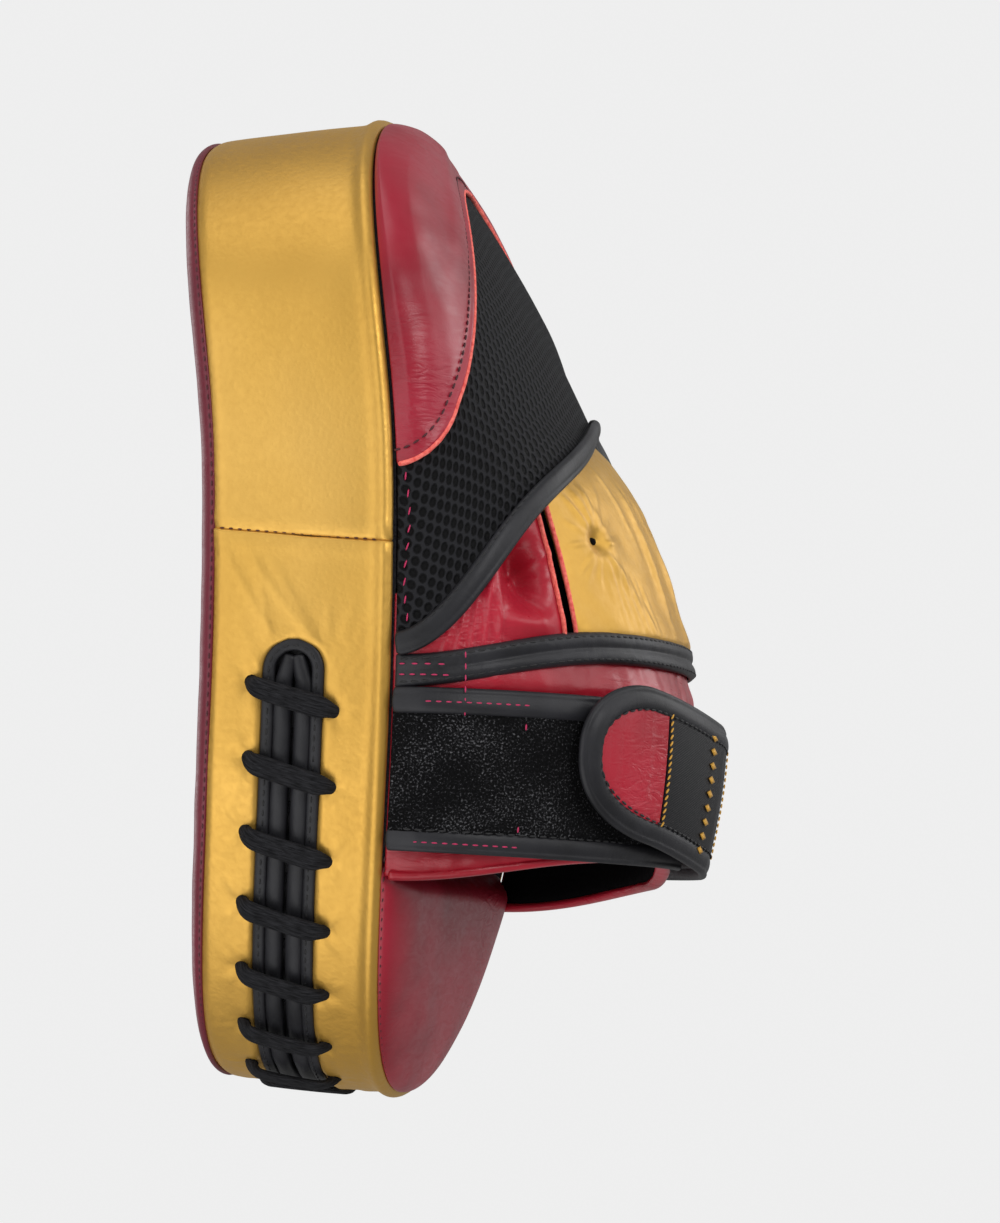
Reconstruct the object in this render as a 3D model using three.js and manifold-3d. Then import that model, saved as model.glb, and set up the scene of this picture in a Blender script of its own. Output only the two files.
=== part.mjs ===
// A curved focus mitt for boxing, in millimetres. +Z runs up the mitt towards the fingertips, -Y is the
// side that is struck, +Y is the back of the wearer's hand and +X is the side that is laced shut.
// The origin lies on the pad's back, under the palm, where the heel of the outline starts to narrow.
//
// The pad is three foam layers in a leather case: a strike panel, a two-piece side wall and a back panel.
// A hand pocket is sewn over the back: a mesh finger hood, a glove back, a cuff and a strap that laps over
// itself. The strap's free end is a flap on a hinge line, and everything else stays with the pad.

import * as THREE from "three";
import { mergeVertices } from "three/addons/utils/BufferGeometryUtils.js";
import Module from "manifold-3d";

const wasm = await Module();
wasm.setup();

// ---------------------------------------------------------------- driving dimensions
const GAP = 0.35; // clearance kept between neighbouring pieces
const LAP_GAP = 0.7; // clearance between curved pieces that lie one on the other
const LEATHER = 1.8; // thickness of the hide, lined and glued

const PAD_HALF_WIDTH = 92;
const PAD_THICKNESS = 51;
const OUTLINE_POWER = 2.2; // of the superellipse that rounds both ends
const CROWN_CENTRE = 36; // the straight sides end here, above ...
const CROWN_REACH = 78; // ... and the fingertip end reaches this much further
const HEEL_CENTRE = 5;
const HEEL_REACH = 163;
const CROWN_BOW_RADIUS = 357; // the pad is bowed towards the striker, more at the crown
const HEEL_BOW_RADIUS = 650;
const END_FLARE = 0.0006; // how much longer the back is than the front, per mm of thickness
const RIM_WRAP = 4.5; // how far the strike panel stands out of the side wall

const WALL_SEAM = -9; // station of the seam across the side wall
const FRONT = -PAD_THICKNESS / 2;
const BACK = PAD_THICKNESS / 2;
const BACK_PANEL_TOP = BACK + 2.6;
const POCKET_FOOT = BACK_PANEL_TOP + 0.5; // the hand pocket's walls stand on the back panel

const SLOT_START = 37.5; // the laced opening starts this far below the origin
const SLOT_CENTRE = -1.8;
const SLOT_HALF_WIDTH = 8.2;
const LACE_PITCH = 20.8;
const LACE_CROSSINGS = 9;
const LACE_HOLE_SPREAD = 11.4; // from the slot's centre to each row of holes
const LACE_SLANT = 3.7;
const LACE_HALF_WIDTH = 3.4;
const LACE_HALF_THICK = 1.1;

const STRAP_TOP = -50; // the base half, sewn to the cuff
const STRAP_BOTTOM = -92.5;
const LAP_TOP = -54.5; // the lapping half, a little narrower
const LAP_BOTTOM = -94.5;
const FLAP_HINGE = 108; // degrees round the wrist, from the laced side
const FLAP_END = 43;
const FLAP_LIFT = 3;

// ---------------------------------------------------------------- the pad's shape
const BOW = (s) => (s * s) / (2 * (s > 0 ? CROWN_BOW_RADIUS : HEEL_BOW_RADIUS));

// Half the pad's width at station s along its length, for an outline drawn in by inset.
function halfWidth(s, inset = 0) {
  const above = (s - CROWN_CENTRE) / (CROWN_REACH - inset);
  const below = (HEEL_CENTRE - s) / (HEEL_REACH - inset);
  const share = Math.min(1, Math.max(above, below, 0));
  return (PAD_HALF_WIDTH - inset) * (1 - share ** OUTLINE_POWER) ** (1 / OUTLINE_POWER);
}

// Pad coordinates to millimetres: x across, s along, t through the thickness from the pad's middle.
const padPoint = (x, s, t) =>
  new THREE.Vector3(x, t - BACK_PANEL_TOP - BOW(s), s * (1 + END_FLARE * t));

// ---------------------------------------------------------------- solids
// Closes a geometry by its positions alone and turns its faces outwards.
function closed(geometry) {
  geometry.deleteAttribute("normal");
  geometry.deleteAttribute("uv");
  const merged = mergeVertices(geometry, 1e-3);
  const p = merged.attributes.position;
  const index = merged.index.array;
  const [a, b, c] = [new THREE.Vector3(), new THREE.Vector3(), new THREE.Vector3()];
  let volume = 0;
  for (let i = 0; i < index.length; i += 3) {
    a.fromBufferAttribute(p, index[i]);
    b.fromBufferAttribute(p, index[i + 1]);
    c.fromBufferAttribute(p, index[i + 2]);
    volume += a.dot(b.cross(c));
  }
  if (volume < 0)
    for (let i = 0; i < index.length; i += 3)
      [index[i + 1], index[i + 2]] = [index[i + 2], index[i + 1]];
  return merged;
}

// A box of the unit cube, cut into columns, rows and layers, with each corner moved by place(u, v, w).
function bentBox(columns, rows, place, layers = 1) {
  const g = new THREE.BoxGeometry(1, 1, 1, columns, rows, layers);
  const p = g.attributes.position;
  for (let i = 0; i < p.count; i++) {
    const q = place(p.getX(i) + 0.5, p.getY(i) + 0.5, p.getZ(i) + 0.5);
    p.setXYZ(i, q.x, q.y, q.z);
  }
  return closed(g);
}

// A rod along at(u), with its section drawn in the two directions that across(u) gives.
function bentRod(steps, sides, at, across) {
  const g = new THREE.CylinderGeometry(1, 1, 1, sides, steps);
  const p = g.attributes.position;
  for (let i = 0; i < p.count; i++) {
    const u = p.getY(i) + 0.5;
    const [one, other] = across(u);
    const q = at(u).addScaledVector(one, p.getX(i)).addScaledVector(other, p.getZ(i));
    p.setXYZ(i, q.x, q.y, q.z);
  }
  return closed(g);
}

const solid = (g) =>
  new wasm.Manifold(
    new wasm.Mesh({
      numProp: 3,
      vertProperties: g.attributes.position.array,
      triVerts: new Uint32Array(g.index.array),
    }),
  );

function geometryOf(made) {
  const m = made.getMesh();
  const p = new Float32Array(m.numVert * 3);
  for (let i = 0; i < m.numVert; i++)
    p.set(m.vertProperties.subarray(i * m.numProp, i * m.numProp + 3), i * 3);
  return new THREE.BufferGeometry()
    .setAttribute("position", new THREE.BufferAttribute(p, 3))
    .setIndex(new THREE.BufferAttribute(m.triVerts, 1));
}

const cut = (g, ...tools) =>
  geometryOf(tools.reduce((left, tool) => left.subtract(solid(tool)), solid(g)));

// ---------------------------------------------------------------- materials
const finish = (color, roughness, metalness = 0) =>
  new THREE.MeshStandardMaterial({ color, roughness, metalness });
const MATERIALS = {
  maroon: finish(0x7a1626, 0.35),
  gold: finish(0xc9a044, 0.38, 0.6),
  black_leather: finish(0x1d1d20, 0.5),
  black_fabric: finish(0x0e0e10, 0.9),
  mesh: finish(0x141416, 0.85),
  foam: finish(0x3c3c40, 0.95),
  lace: finish(0x101011, 0.95),
};

const mitt = new THREE.Group();
function add(name, material, geometry) {
  geometry.computeVertexNormals();
  const mesh = new THREE.Mesh(geometry, MATERIALS[material]);
  mesh.name = name;
  mitt.add(mesh);
}

// ---------------------------------------------------------------- the pad
// A slab with the pad's outline, drawn in by inset, between two depths of the thickness.
// Its rows crowd together at the ends, where the outline turns, and end in a short flat.
function padSlab(inset, low, high, rows = 30) {
  const heel = HEEL_CENTRE - HEEL_REACH + inset;
  const crown = CROWN_CENTRE + CROWN_REACH - inset;
  const blunt = 0.013;
  return bentBox(1, rows, (u, v, w) => {
    const share = (1 - Math.cos(Math.PI * (blunt + (1 - 2 * blunt) * v))) / 2;
    const s = heel + (crown - heel) * share;
    return padPoint((2 * u - 1) * halfWidth(s, inset), s, low + (high - low) * w);
  });
}

// Everything of the pad on one side of a station.
const beyond = (from, to) =>
  bentBox(1, 1, (u, v, w) => new THREE.Vector3(400 * u - 200, 400 * w - 200, from + (to - from) * v));

const skinFront = FRONT - RIM_WRAP;
add("strike_panel", "maroon", cut(
  padSlab(0, skinFront, FRONT - GAP),
  padSlab(LEATHER, skinFront + LEATHER, FRONT + 1),
));
const foamInset = LEATHER + GAP;
const IMPACT_BACK = -17.6; // depths at which one foam layer gives way to the next
const CORE_BACK = 13.6;
add("impact_foam", "foam", padSlab(foamInset + 0.6, skinFront + LEATHER + GAP, IMPACT_BACK, 24));
add("gusset_upper", "gold", cut(
  padSlab(0, FRONT, BACK),
  padSlab(LEATHER, FRONT - 5, BACK + 5),
  beyond(-300, WALL_SEAM + GAP / 2),
));
add("back_panel", "maroon", padSlab(0.6, BACK + GAP, BACK_PANEL_TOP));

// ---------------------------------------------------------------- the laced opening in the side wall
// The outline of the heel on the laced side, from the straight side round under the heel.
class HeelOutline extends THREE.Curve {
  getPoint(u) {
    const turn = 0.2 + u * 2.0; // radians, past the bottom
    const c = Math.cos(turn);
    const x = PAD_HALF_WIDTH * Math.sign(c) * Math.abs(c) ** (2 / OUTLINE_POWER);
    return new THREE.Vector3(x, HEEL_CENTRE - HEEL_REACH * Math.sin(turn) ** (2 / OUTLINE_POWER), 0);
  }
}
const heelOutline = new HeelOutline();
heelOutline.arcLengthDivisions = 600;
const heelLength = heelOutline.getLength();
const slotOffset = (() => {
  let u = 0;
  while (heelOutline.getPointAt(u).y > -SLOT_START) u += 0.001;
  return u * heelLength;
})();

// A point on the side wall, d below the top of the slot, at depth t, standing out of the wall by out.
function wallPoint(d, t, out = 0) {
  const u = Math.min(1, (slotOffset + d) / heelLength);
  const p = heelOutline.getPointAt(u);
  const along = heelOutline.getTangentAt(u);
  return padPoint(p.x - along.y * out, p.y + along.x * out, t);
}

const slotLength = LACE_PITCH * (LACE_CROSSINGS + 0.1);
const roundEnd = (u) => Math.sqrt(1 - Math.max(0, 1 - u * 16, u * 16 - 15) ** 2);

// A strip of the wall over the slot: between two depths, between two heights, rounded at both ends.
const wallStrip = (low, high, inside, outside, start = 0, end = slotLength, steps = 26) =>
  bentBox(2, steps, (u, v, w) => {
    const t = SLOT_CENTRE + (low + (high - low) * u) * Math.max(0.25, roundEnd(v));
    return wallPoint(start + (end - start) * v, t, inside + (outside - inside) * w);
  });

const holeDistances = Array.from({ length: LACE_CROSSINGS }, (_, i) => 15.5 + i * LACE_PITCH);
const lastHole = holeDistances.at(-1);

// One lace: over the slot from front to back, in through a hole, and back under the wall to the next.
const laceStations = holeDistances.flatMap((d) => [
  [d - LACE_SLANT - 1.5, -LACE_HOLE_SPREAD, -4.2],
  [d - LACE_SLANT, -LACE_HOLE_SPREAD, 0.4],
  [d - LACE_SLANT * 0.6, -LACE_HOLE_SPREAD * 0.7, 3.0],
  [d + LACE_SLANT * 0.6, LACE_HOLE_SPREAD * 0.7, 3.0],
  [d + LACE_SLANT, LACE_HOLE_SPREAD, 0.4],
  [d + LACE_SLANT + 1.5, LACE_HOLE_SPREAD, -4.2],
]);
const lacePath = new THREE.CatmullRomCurve3(
  laceStations.map(([d, t, out]) => wallPoint(d, SLOT_CENTRE + t, out)),
  false,
  "catmullrom",
  0.35,
);
const laceSteps = laceStations.length * 2;
const laceHoles = holeDistances.flatMap((d) =>
  [-1, 1].map((side) =>
    bentRod(
      1,
      8,
      (u) => wallPoint(d + side * LACE_SLANT, SLOT_CENTRE + side * LACE_HOLE_SPREAD, 4 - 8 * u),
      () => [new THREE.Vector3(0, 2.9, 0), wallPoint(d + 3, 0).sub(wallPoint(d, 0)).setLength(5)],
    ),
  ),
);

add("gusset_lower", "gold", cut(
  padSlab(0, FRONT, BACK, 44),
  padSlab(LEATHER, FRONT - 5, BACK + 5, 44),
  beyond(WALL_SEAM - GAP / 2, 300),
  wallStrip(-SLOT_HALF_WIDTH, SLOT_HALF_WIDTH, -6, 5),
  ...laceHoles,
));
const ROLL_START = 9; // the rolls stop short of the slot's round ends
const rollGap = 0.4;
const rollOuter = SLOT_HALF_WIDTH - 1.7;
const rimOuter = SLOT_HALF_WIDTH - 0.5;
const placeRoll = (side) =>
  bentRod(
    40,
    8,
    (u) => wallPoint(ROLL_START + (slotLength - 2 * ROLL_START) * u, SLOT_CENTRE + (side * (rollOuter + rollGap)) / 2, -0.9),
    (u) => {
      const d = ROLL_START + (slotLength - 2 * ROLL_START) * u;
      const out = wallPoint(d, 0, 1).sub(wallPoint(d, 0, 0)).setLength(2.5);
      return [new THREE.Vector3(0, (rollOuter - rollGap) / 2, 0), out];
    },
  );
add("lace_roll_front", "black_leather", placeRoll(-1));
add("lace_roll_back", "black_leather", placeRoll(1));
for (const [name, side] of [["slot_rim_front", -1], ["slot_rim_back", 1]])
  add(name, "black_leather", bentBox(1, 26, (u, v, w) => wallPoint(
    ROLL_START + (slotLength - 2 * ROLL_START) * v,
    SLOT_CENTRE + side * (rollOuter + GAP + (rimOuter - rollOuter - GAP) * u),
    -2 + 2.4 * w,
  )));
const lace = bentRod(
  laceSteps,
  8,
  (u) => lacePath.getPoint(u),
  (u) => {
    const along = lacePath.getTangent(u);
    const run = wallPoint(lastHole * u + 3, 0).sub(wallPoint(lastHole * u, 0)).normalize();
    const flat = run.addScaledVector(along, -run.dot(along)).normalize();
    const thick = new THREE.Vector3().crossVectors(along, flat);
    return [flat.multiplyScalar(LACE_HALF_WIDTH), thick.multiplyScalar(LACE_HALF_THICK)];
  },
);
add("lace", "lace", lace);
add("lace_tongue", "black_leather", wallStrip(-14.5, 14.5, -7.4, -6.2, -3, slotLength + 3));
add("core_foam", "foam", cut(
  padSlab(foamInset + 0.6, IMPACT_BACK + GAP, CORE_BACK, 30),
  wallStrip(-15, 15, -7.8, 6, -4, slotLength + 9),
));
add("back_foam", "foam", padSlab(foamInset + 0.6, CORE_BACK + GAP, BACK - 0.1, 24));

// ---------------------------------------------------------------- the hand pocket
// Height of the pocket's crest over the back panel, at stations along the mitt.
const spline = (pairs) => {
  const [at, value] = [pairs.map((p) => p[0]), pairs.map((p) => p[1])];
  const curve = new THREE.CubicInterpolant(at, value, 1, new Float32Array(1));
  return (s) => curve.evaluate(s)[0];
};
const handCrest = spline([
  [-115, 62], [-98, 62], [-70, 64], [-48, 63.5], [-36, 61.5], [-20, 56.5], [-6, 51], [6, 45.5],
  [18, 38], [30, 29], [45, 18],
]);
const HOOD_JOIN = 26; // above this the hood runs straight down to the crown
const HOOD_SLOPE = 0.385;
const hoodCrest = (s) =>
  s < HOOD_JOIN ? handCrest(s) + 3.2 : handCrest(HOOD_JOIN) + 3.2 - (s - HOOD_JOIN) * HOOD_SLOPE;

// A point on the pocket: angle in degrees round the hand from the laced side, station s.
function archPoint(angle, s, crest, inset, off) {
  const a = THREE.MathUtils.degToRad(angle);
  const across = (halfWidth(s) - inset + off) * Math.cos(a);
  return padPoint(across, s, POCKET_FOOT + (crest + off - POCKET_FOOT + BACK) * Math.sin(a));
}
const handPoint = (angle, s, off) => archPoint(angle, s, handCrest(s), 5.6, off);
const hoodPoint = (angle, s, off) => archPoint(angle, s, hoodCrest(s), 2.6, off);

// A shell on the pocket between two angles and two edges, each edge a station at every angle.
const shell = (point, from, to, lower, upper, inside, outside, columns = 20, rows = 4) =>
  bentBox(columns, rows, (u, v, w) => {
    const angle = from + (to - from) * u;
    const s = lower(angle) + (upper(angle) - lower(angle)) * v;
    return point(angle, s, inside + (outside - inside) * w);
  });
const flat = (s) => () => s;
const cosine = (angle) => Math.abs(Math.cos(THREE.MathUtils.degToRad(angle)));

// Stations of the hood's lower edge and of the crown overlay's inner edge, round the hand.
const hoodEdge = (angle) => 27 - 37 * cosine(angle) ** 1.3 - 31 * cosine(angle) ** 9.5;
const overlayEdge = (angle) => 100 - 91 * cosine(angle) ** 1.9;
const BINDING_WIDTH = 6;

add("mesh_hood", "mesh", shell(
  hoodPoint, 0, 180, (a) => hoodEdge(a) + BINDING_WIDTH + GAP, flat(90), -LEATHER, 0, 24, 7,
));
add("hood_binding", "black_leather", shell(
  hoodPoint, 0, 180, hoodEdge, (a) => hoodEdge(a) + BINDING_WIDTH, -LEATHER, 1.2, 24, 1,
));
add("crown_overlay", "maroon", shell(
  hoodPoint, 0.5, 179.5, overlayEdge, flat(108), LAP_GAP + 0.4, LAP_GAP + 2.6, 24, 7,
));

const BAND_CENTRE = -36;
const bandCentre = (angle) => BAND_CENTRE - 9.4 * cosine(angle) ** 5;
const PANEL_EDGE = 47; // degrees: where the glove back's centre panel ends
const SIDE_EDGE = 44.5;
const panelTop = (angle) => Math.min(38, hoodEdge(angle) + 14);
const panelFoot = (angle) => bandCentre(angle) + GAP / 2;
add("hand_panel", "gold", shell(
  handPoint, PANEL_EDGE, 180 - PANEL_EDGE, panelFoot, panelTop, -LEATHER, 0, 14, 7,
));
for (const [name, from, to] of [["near", 0, SIDE_EDGE], ["far", 180 - SIDE_EDGE, 180]]) {
  add(`side_panel_${name}`, "maroon", shell(
    handPoint, from, to, panelFoot, panelTop, -LEATHER, 0, 7, 7,
  ));
}
for (const [name, centre] of [["near", 45.75], ["far", 134.25]])
  add(`stretch_insert_${name}`, "black_fabric", shell(
    handPoint, centre - 4, centre + 4, panelFoot, panelTop,
    -LEATHER - LAP_GAP - 1, -LEATHER - LAP_GAP, 2, 7,
  ));
add("wrist_band", "black_leather", shell(
  handPoint, 0, 180, (a) => bandCentre(a) - 4, (a) => bandCentre(a) + 4, LAP_GAP, LAP_GAP + 1.4, 24, 1,
));
const cuffLip = (angle) => -91 - 8.7 * cosine(angle) ** 4;
add("cuff", "maroon", shell(
  handPoint, 0, 180, cuffLip, (a) => bandCentre(a) - GAP / 2, -LEATHER, 0, 24, 4,
));
add("cuff_lining", "black_fabric", shell(
  handPoint, 0, 180, (a) => cuffLip(a) + 1, (a) => bandCentre(a) - 3,
  -LEATHER - LAP_GAP - 1.2, -LEATHER - LAP_GAP, 24, 4,
));

// ---------------------------------------------------------------- palm grip on the back panel
const BALL_STATION = -16;
const BALL_RADIUS = 25;
const BALL_HEIGHT = 21;
const LINING_TOP = BACK_PANEL_TOP + GAP + 0.9;
// A low dome on the back panel: a half circle turned about the axis that points away from the pad.
function palmDome(radius, height, foot) {
  const profile = new THREE.Path().absellipse(0, 0, radius, height, 0, Math.PI / 2);
  const points = [new THREE.Vector2(0, 0), ...profile.getPoints(6)];
  points.at(-1).x = 0;
  const g = new THREE.LatheGeometry(points, 20);
  const middle = padPoint(0, BALL_STATION, foot);
  g.translate(middle.x, middle.y, middle.z);
  return closed(g);
}
add("palm_lining", "black_fabric", bentBox(1, 10, (u, v, w) => {
  const s = -94 + 150 * v;
  return padPoint((2 * u - 1) * (halfWidth(s) - 12), s, BACK_PANEL_TOP + GAP + 0.9 * w);
}));
const ballFoot = LINING_TOP + GAP + 0.3;
add("palm_ball_core", "foam", palmDome(BALL_RADIUS - 2.6, BALL_HEIGHT - 3, ballFoot));
add("palm_ball_cover", "maroon", cut(
  palmDome(BALL_RADIUS, BALL_HEIGHT, ballFoot),
  palmDome(BALL_RADIUS - 2, BALL_HEIGHT - 2, ballFoot - 0.5),
));

// ---------------------------------------------------------------- the wrist strap
const EDGE_BINDING = 5.5;
const BASE_END = 97; // degrees: the loop side ends under the flap
const strapShell = (low, high, inside, outside, rows, from = 1, to = BASE_END) =>
  shell(handPoint, from, to, flat(low), flat(high), inside, outside, 14, rows);
const WEB_LOW = STRAP_BOTTOM + EDGE_BINDING + GAP; // the strap's web, between its two bindings
const WEB_HIGH = STRAP_TOP - EDGE_BINDING - GAP;
add("base_strap", "black_leather", strapShell(WEB_LOW, WEB_HIGH, LAP_GAP, LAP_GAP + 1.8, 3));
add("loop_tape", "black_fabric", strapShell(
  WEB_LOW, WEB_HIGH, LAP_GAP + 1.8 + GAP, LAP_GAP + 1.8 + GAP + 0.9, 3,
));
add("base_binding_top", "black_leather", strapShell(
  STRAP_TOP - EDGE_BINDING, STRAP_TOP, LAP_GAP, LAP_GAP + 3.2, 1,
));
add("base_binding_bottom", "black_leather", strapShell(
  STRAP_BOTTOM, STRAP_BOTTOM + EDGE_BINDING, LAP_GAP, LAP_GAP + 3.2, 1,
));

// The lapping half of the strap stands a little off the wrist at its crest.
// It climbs towards the fingers on its way round to the laced side.
const lapClimb = (angle) => 10 * THREE.MathUtils.smoothstep(102 - angle, 0, 56);
const flapPoint = (angle, s, off) =>
  handPoint(angle, s + lapClimb(angle), off + FLAP_LIFT * (1 - cosine(angle)) ** 2);
const ANCHOR_START = FLAP_HINGE + 0.6;
const anchorShell = (low, high, outside, rows) =>
  shell(flapPoint, ANCHOR_START, 179, flat(low), flat(high), LAP_GAP, outside, 11, rows);
add("anchor_strap", "black_leather", anchorShell(
  LAP_BOTTOM + EDGE_BINDING + GAP, LAP_TOP - EDGE_BINDING - GAP, 4.2, 3,
));
add("anchor_binding_top", "black_leather", anchorShell(LAP_TOP - EDGE_BINDING, LAP_TOP, 4.8, 1));
add("anchor_binding_bottom", "black_leather", anchorShell(
  LAP_BOTTOM, LAP_BOTTOM + EDGE_BINDING, 4.8, 1,
));

// The flap, from its hinge line to a round end. Its edge is at angle flapEnd(v) across its width.
const flapEnd = (v) => FLAP_END + 17 * (1 - Math.sqrt(1 - Math.abs(2 * v - 1) ** 2.4));
const flapShell = (from, margin, inside, outside, columns = 12, rows = 8, to = flapEnd) =>
  bentBox(columns, rows, (u, v, w) => {
    const low = LAP_BOTTOM + margin;
    const high = LAP_TOP - margin;
    const end = to(v) + (to === flapEnd ? margin * 0.75 : 0);
    return flapPoint(from + (end - from) * u, low + (high - low) * v, inside + (outside - inside) * w);
  });
const FLAP_INNER = 6.2; // the flap's own strap lies between these two heights over the wrist
const FLAP_OUTER = FLAP_INNER + 2;
const FLAP_FACE = FLAP_OUTER + LAP_GAP + 0.8;
add("flap_strap", "black_leather", flapShell(FLAP_HINGE, EDGE_BINDING + GAP, FLAP_INNER, FLAP_OUTER));
add("hook_tape", "black_fabric", flapShell(
  90, EDGE_BINDING + GAP + 0.5, FLAP_INNER - LAP_GAP - 1, FLAP_INNER - LAP_GAP, 9, 8,
));
const LABEL_FROM = 103;
const LABEL_TO = 66;
add("flap_label", "black_fabric", flapShell(
  LABEL_FROM, EDGE_BINDING + GAP + 0.3, FLAP_OUTER + LAP_GAP, FLAP_FACE, 6, 4, () => LABEL_TO,
));
add("flap_patch", "maroon", flapShell(
  LABEL_TO - 0.5, EDGE_BINDING + GAP + 0.3, FLAP_OUTER + LAP_GAP, FLAP_FACE, 6, 8,
));
// The binding runs down one edge of the flap, round its end and back up the other edge.
const rim = (u, margin) => {
  const turn = THREE.MathUtils.clamp((u - 0.3) / 0.4, 0, 1);
  const v = 0.5 - 0.5 * Math.cos(Math.PI * turn);
  const s = LAP_BOTTOM + margin + (LAP_TOP - LAP_BOTTOM - 2 * margin) * v;
  const end = flapEnd(v) + margin * 0.75;
  const side = u < 0.3 ? u / 0.3 : u > 0.7 ? (1 - u) / 0.3 : 1;
  return [FLAP_HINGE + (end - FLAP_HINGE) * side, s];
};
add("flap_binding", "black_leather", bentBox(44, 1, (u, v, w) => {
  const [angle, s] = rim(u, EDGE_BINDING * v);
  return flapPoint(angle, s, FLAP_INNER - 1.2 + (FLAP_FACE - FLAP_INNER + 1.4) * w);
}));

export default mitt;
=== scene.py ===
"""A curved leather focus mitt. Lengths in the shape functions are millimetres, turned to metres at the end.

x runs across the mitt, s along it towards the fingertips and t through its thickness towards the hand. On the
hand pocket a place is an angle round the hand, in degrees from the laced side, a station s and a height off it.
"""

import math

import bmesh
import bpy
from mathutils import Matrix, Vector, noise


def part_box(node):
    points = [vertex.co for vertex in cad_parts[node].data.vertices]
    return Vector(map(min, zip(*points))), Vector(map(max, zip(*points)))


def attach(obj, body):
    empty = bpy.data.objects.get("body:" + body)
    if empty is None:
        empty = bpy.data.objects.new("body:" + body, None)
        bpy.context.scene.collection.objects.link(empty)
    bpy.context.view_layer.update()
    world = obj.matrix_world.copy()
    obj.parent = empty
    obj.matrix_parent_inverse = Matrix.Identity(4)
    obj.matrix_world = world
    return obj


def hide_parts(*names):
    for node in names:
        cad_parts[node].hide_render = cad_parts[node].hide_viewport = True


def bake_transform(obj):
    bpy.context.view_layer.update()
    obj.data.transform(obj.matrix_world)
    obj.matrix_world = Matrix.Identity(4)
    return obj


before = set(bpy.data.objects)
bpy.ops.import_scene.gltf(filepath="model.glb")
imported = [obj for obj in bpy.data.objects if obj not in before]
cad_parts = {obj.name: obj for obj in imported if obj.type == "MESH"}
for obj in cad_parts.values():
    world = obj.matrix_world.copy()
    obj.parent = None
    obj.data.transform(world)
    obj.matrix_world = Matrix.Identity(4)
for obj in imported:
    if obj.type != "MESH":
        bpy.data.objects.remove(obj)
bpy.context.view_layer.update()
bpy.context.scene.view_settings.view_transform = "Standard"
bpy.context.scene.view_settings.look = "None"

# ---------------------------------------------------------------- the mitt's shape
HALF_WIDTH = 92
OUTLINE_POWER = 2.2
CROWN_CENTRE, CROWN_REACH = 36, 78
HEEL_CENTRE, HEEL_REACH = 5, 163
TIP = CROWN_CENTRE + CROWN_REACH
HEEL = HEEL_CENTRE - HEEL_REACH
FRONT, BACK = -25.5, 25.5
PALM = 28.1  # depth of the origin behind the pad's middle
POCKET_FOOT = 25.7
STRAP_TOP, STRAP_BOTTOM = -50, -92.5
LAP_TOP, LAP_BOTTOM = -54.5, -94.5


def bow(s):
    return s * s / (2 * (357 if s > 0 else 650))


def half_width(s, inset=0.0):
    share = max((s - CROWN_CENTRE) / (CROWN_REACH - inset), (HEEL_CENTRE - s) / (HEEL_REACH - inset), 0)
    return (HALF_WIDTH - inset) * (1 - min(1, share) ** OUTLINE_POWER) ** (1 / OUTLINE_POWER)


def pad(x, s, t):
    return Vector((x, t - PALM - bow(s), s * (1 + 0.0006 * t))) * 0.001


def clamp(x, low=0.0, high=1.0):
    return max(low, min(high, x))


def ease(x):
    x = clamp(x)
    return x * x * (3 - 2 * x)


def curve_through(pairs):
    """A smooth function through (station, value) pairs."""
    def at(x):
        i = 0
        while i < len(pairs) - 2 and x > pairs[i + 1][0]:
            i += 1
        (x0, y0), (x1, y1) = pairs[i], pairs[i + 1]
        before, after = pairs[max(0, i - 1)], pairs[min(len(pairs) - 1, i + 2)]
        m0 = (y1 - before[1]) / (x1 - before[0])
        m1 = (after[1] - y0) / (after[0] - x0)
        w, h = (x - x0) / (x1 - x0), x1 - x0
        if not 0 <= w <= 1:
            return y0 + m0 * (x - x0) if w < 0 else y1 + m1 * (x - x1)
        return ((1 + 2 * w) * (1 - w) ** 2 * y0 + w * (1 - w) ** 2 * h * m0
                + w * w * (3 - 2 * w) * y1 - w * w * (1 - w) * h * m1)
    return at


hand_crest = curve_through([(-115, 62), (-98, 62), (-70, 64), (-48, 63.5), (-36, 61.5), (-20, 56.5), (-6, 51),
                            (6, 45.5), (18, 38), (30, 29), (45, 18)])
HOOD_AT_JOIN = hand_crest(26) + 3.2


def hood_crest(s):
    return hand_crest(s) + 3.2 if s < 26 else max(1.0, HOOD_AT_JOIN - (s - 26) * 0.385)


def cosine(angle):
    return abs(math.cos(math.radians(angle)))


def pocket(angle, s, off, crest=hand_crest, inset=0.7):
    """A place on the hand pocket. Every layer dives into the pad's back seam at its two sides."""
    a = math.radians(angle)
    lift = off * min(1, math.sin(a) / 0.16 + 0.12)
    across = (half_width(s) - inset + lift) * math.cos(a)
    return pad(across, s, POCKET_FOOT + (crest(s) + lift - POCKET_FOOT + BACK) * math.sin(a))


def hood(angle, s, off=0.0):
    behind = 3.2 * ease((angle - 96) / 18) * ease((62 - s) / 30)
    return pocket(angle, s, off - behind, hood_crest, 0.3)


def strap(angle, s, off=0.0):
    """The lapping half of the strap: it stands a little off the wrist at its crest, and climbs as it comes round."""
    return pocket(angle, s + 10 * ease((102 - angle) / 56), off + 3 * (1 - cosine(angle)) ** 2)


def turned(angle, peak):
    """The hood leans: its edges are highest at the angle peak, and run as the plain angle gives near the laced side."""
    if angle > peak:
        return 90 + (angle - peak) * 90 / (180 - peak)
    return angle - (peak - 90) * (angle / peak) ** 2.8


def hood_edge(angle):
    angle = turned(angle, 108)
    return 27 - 37 * cosine(angle) ** 1.3 - 31 * cosine(angle) ** 9.5


def overlay_edge(angle):
    angle = turned(angle, 140)
    return 100 - 91 * cosine(angle) ** 1.9


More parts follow.
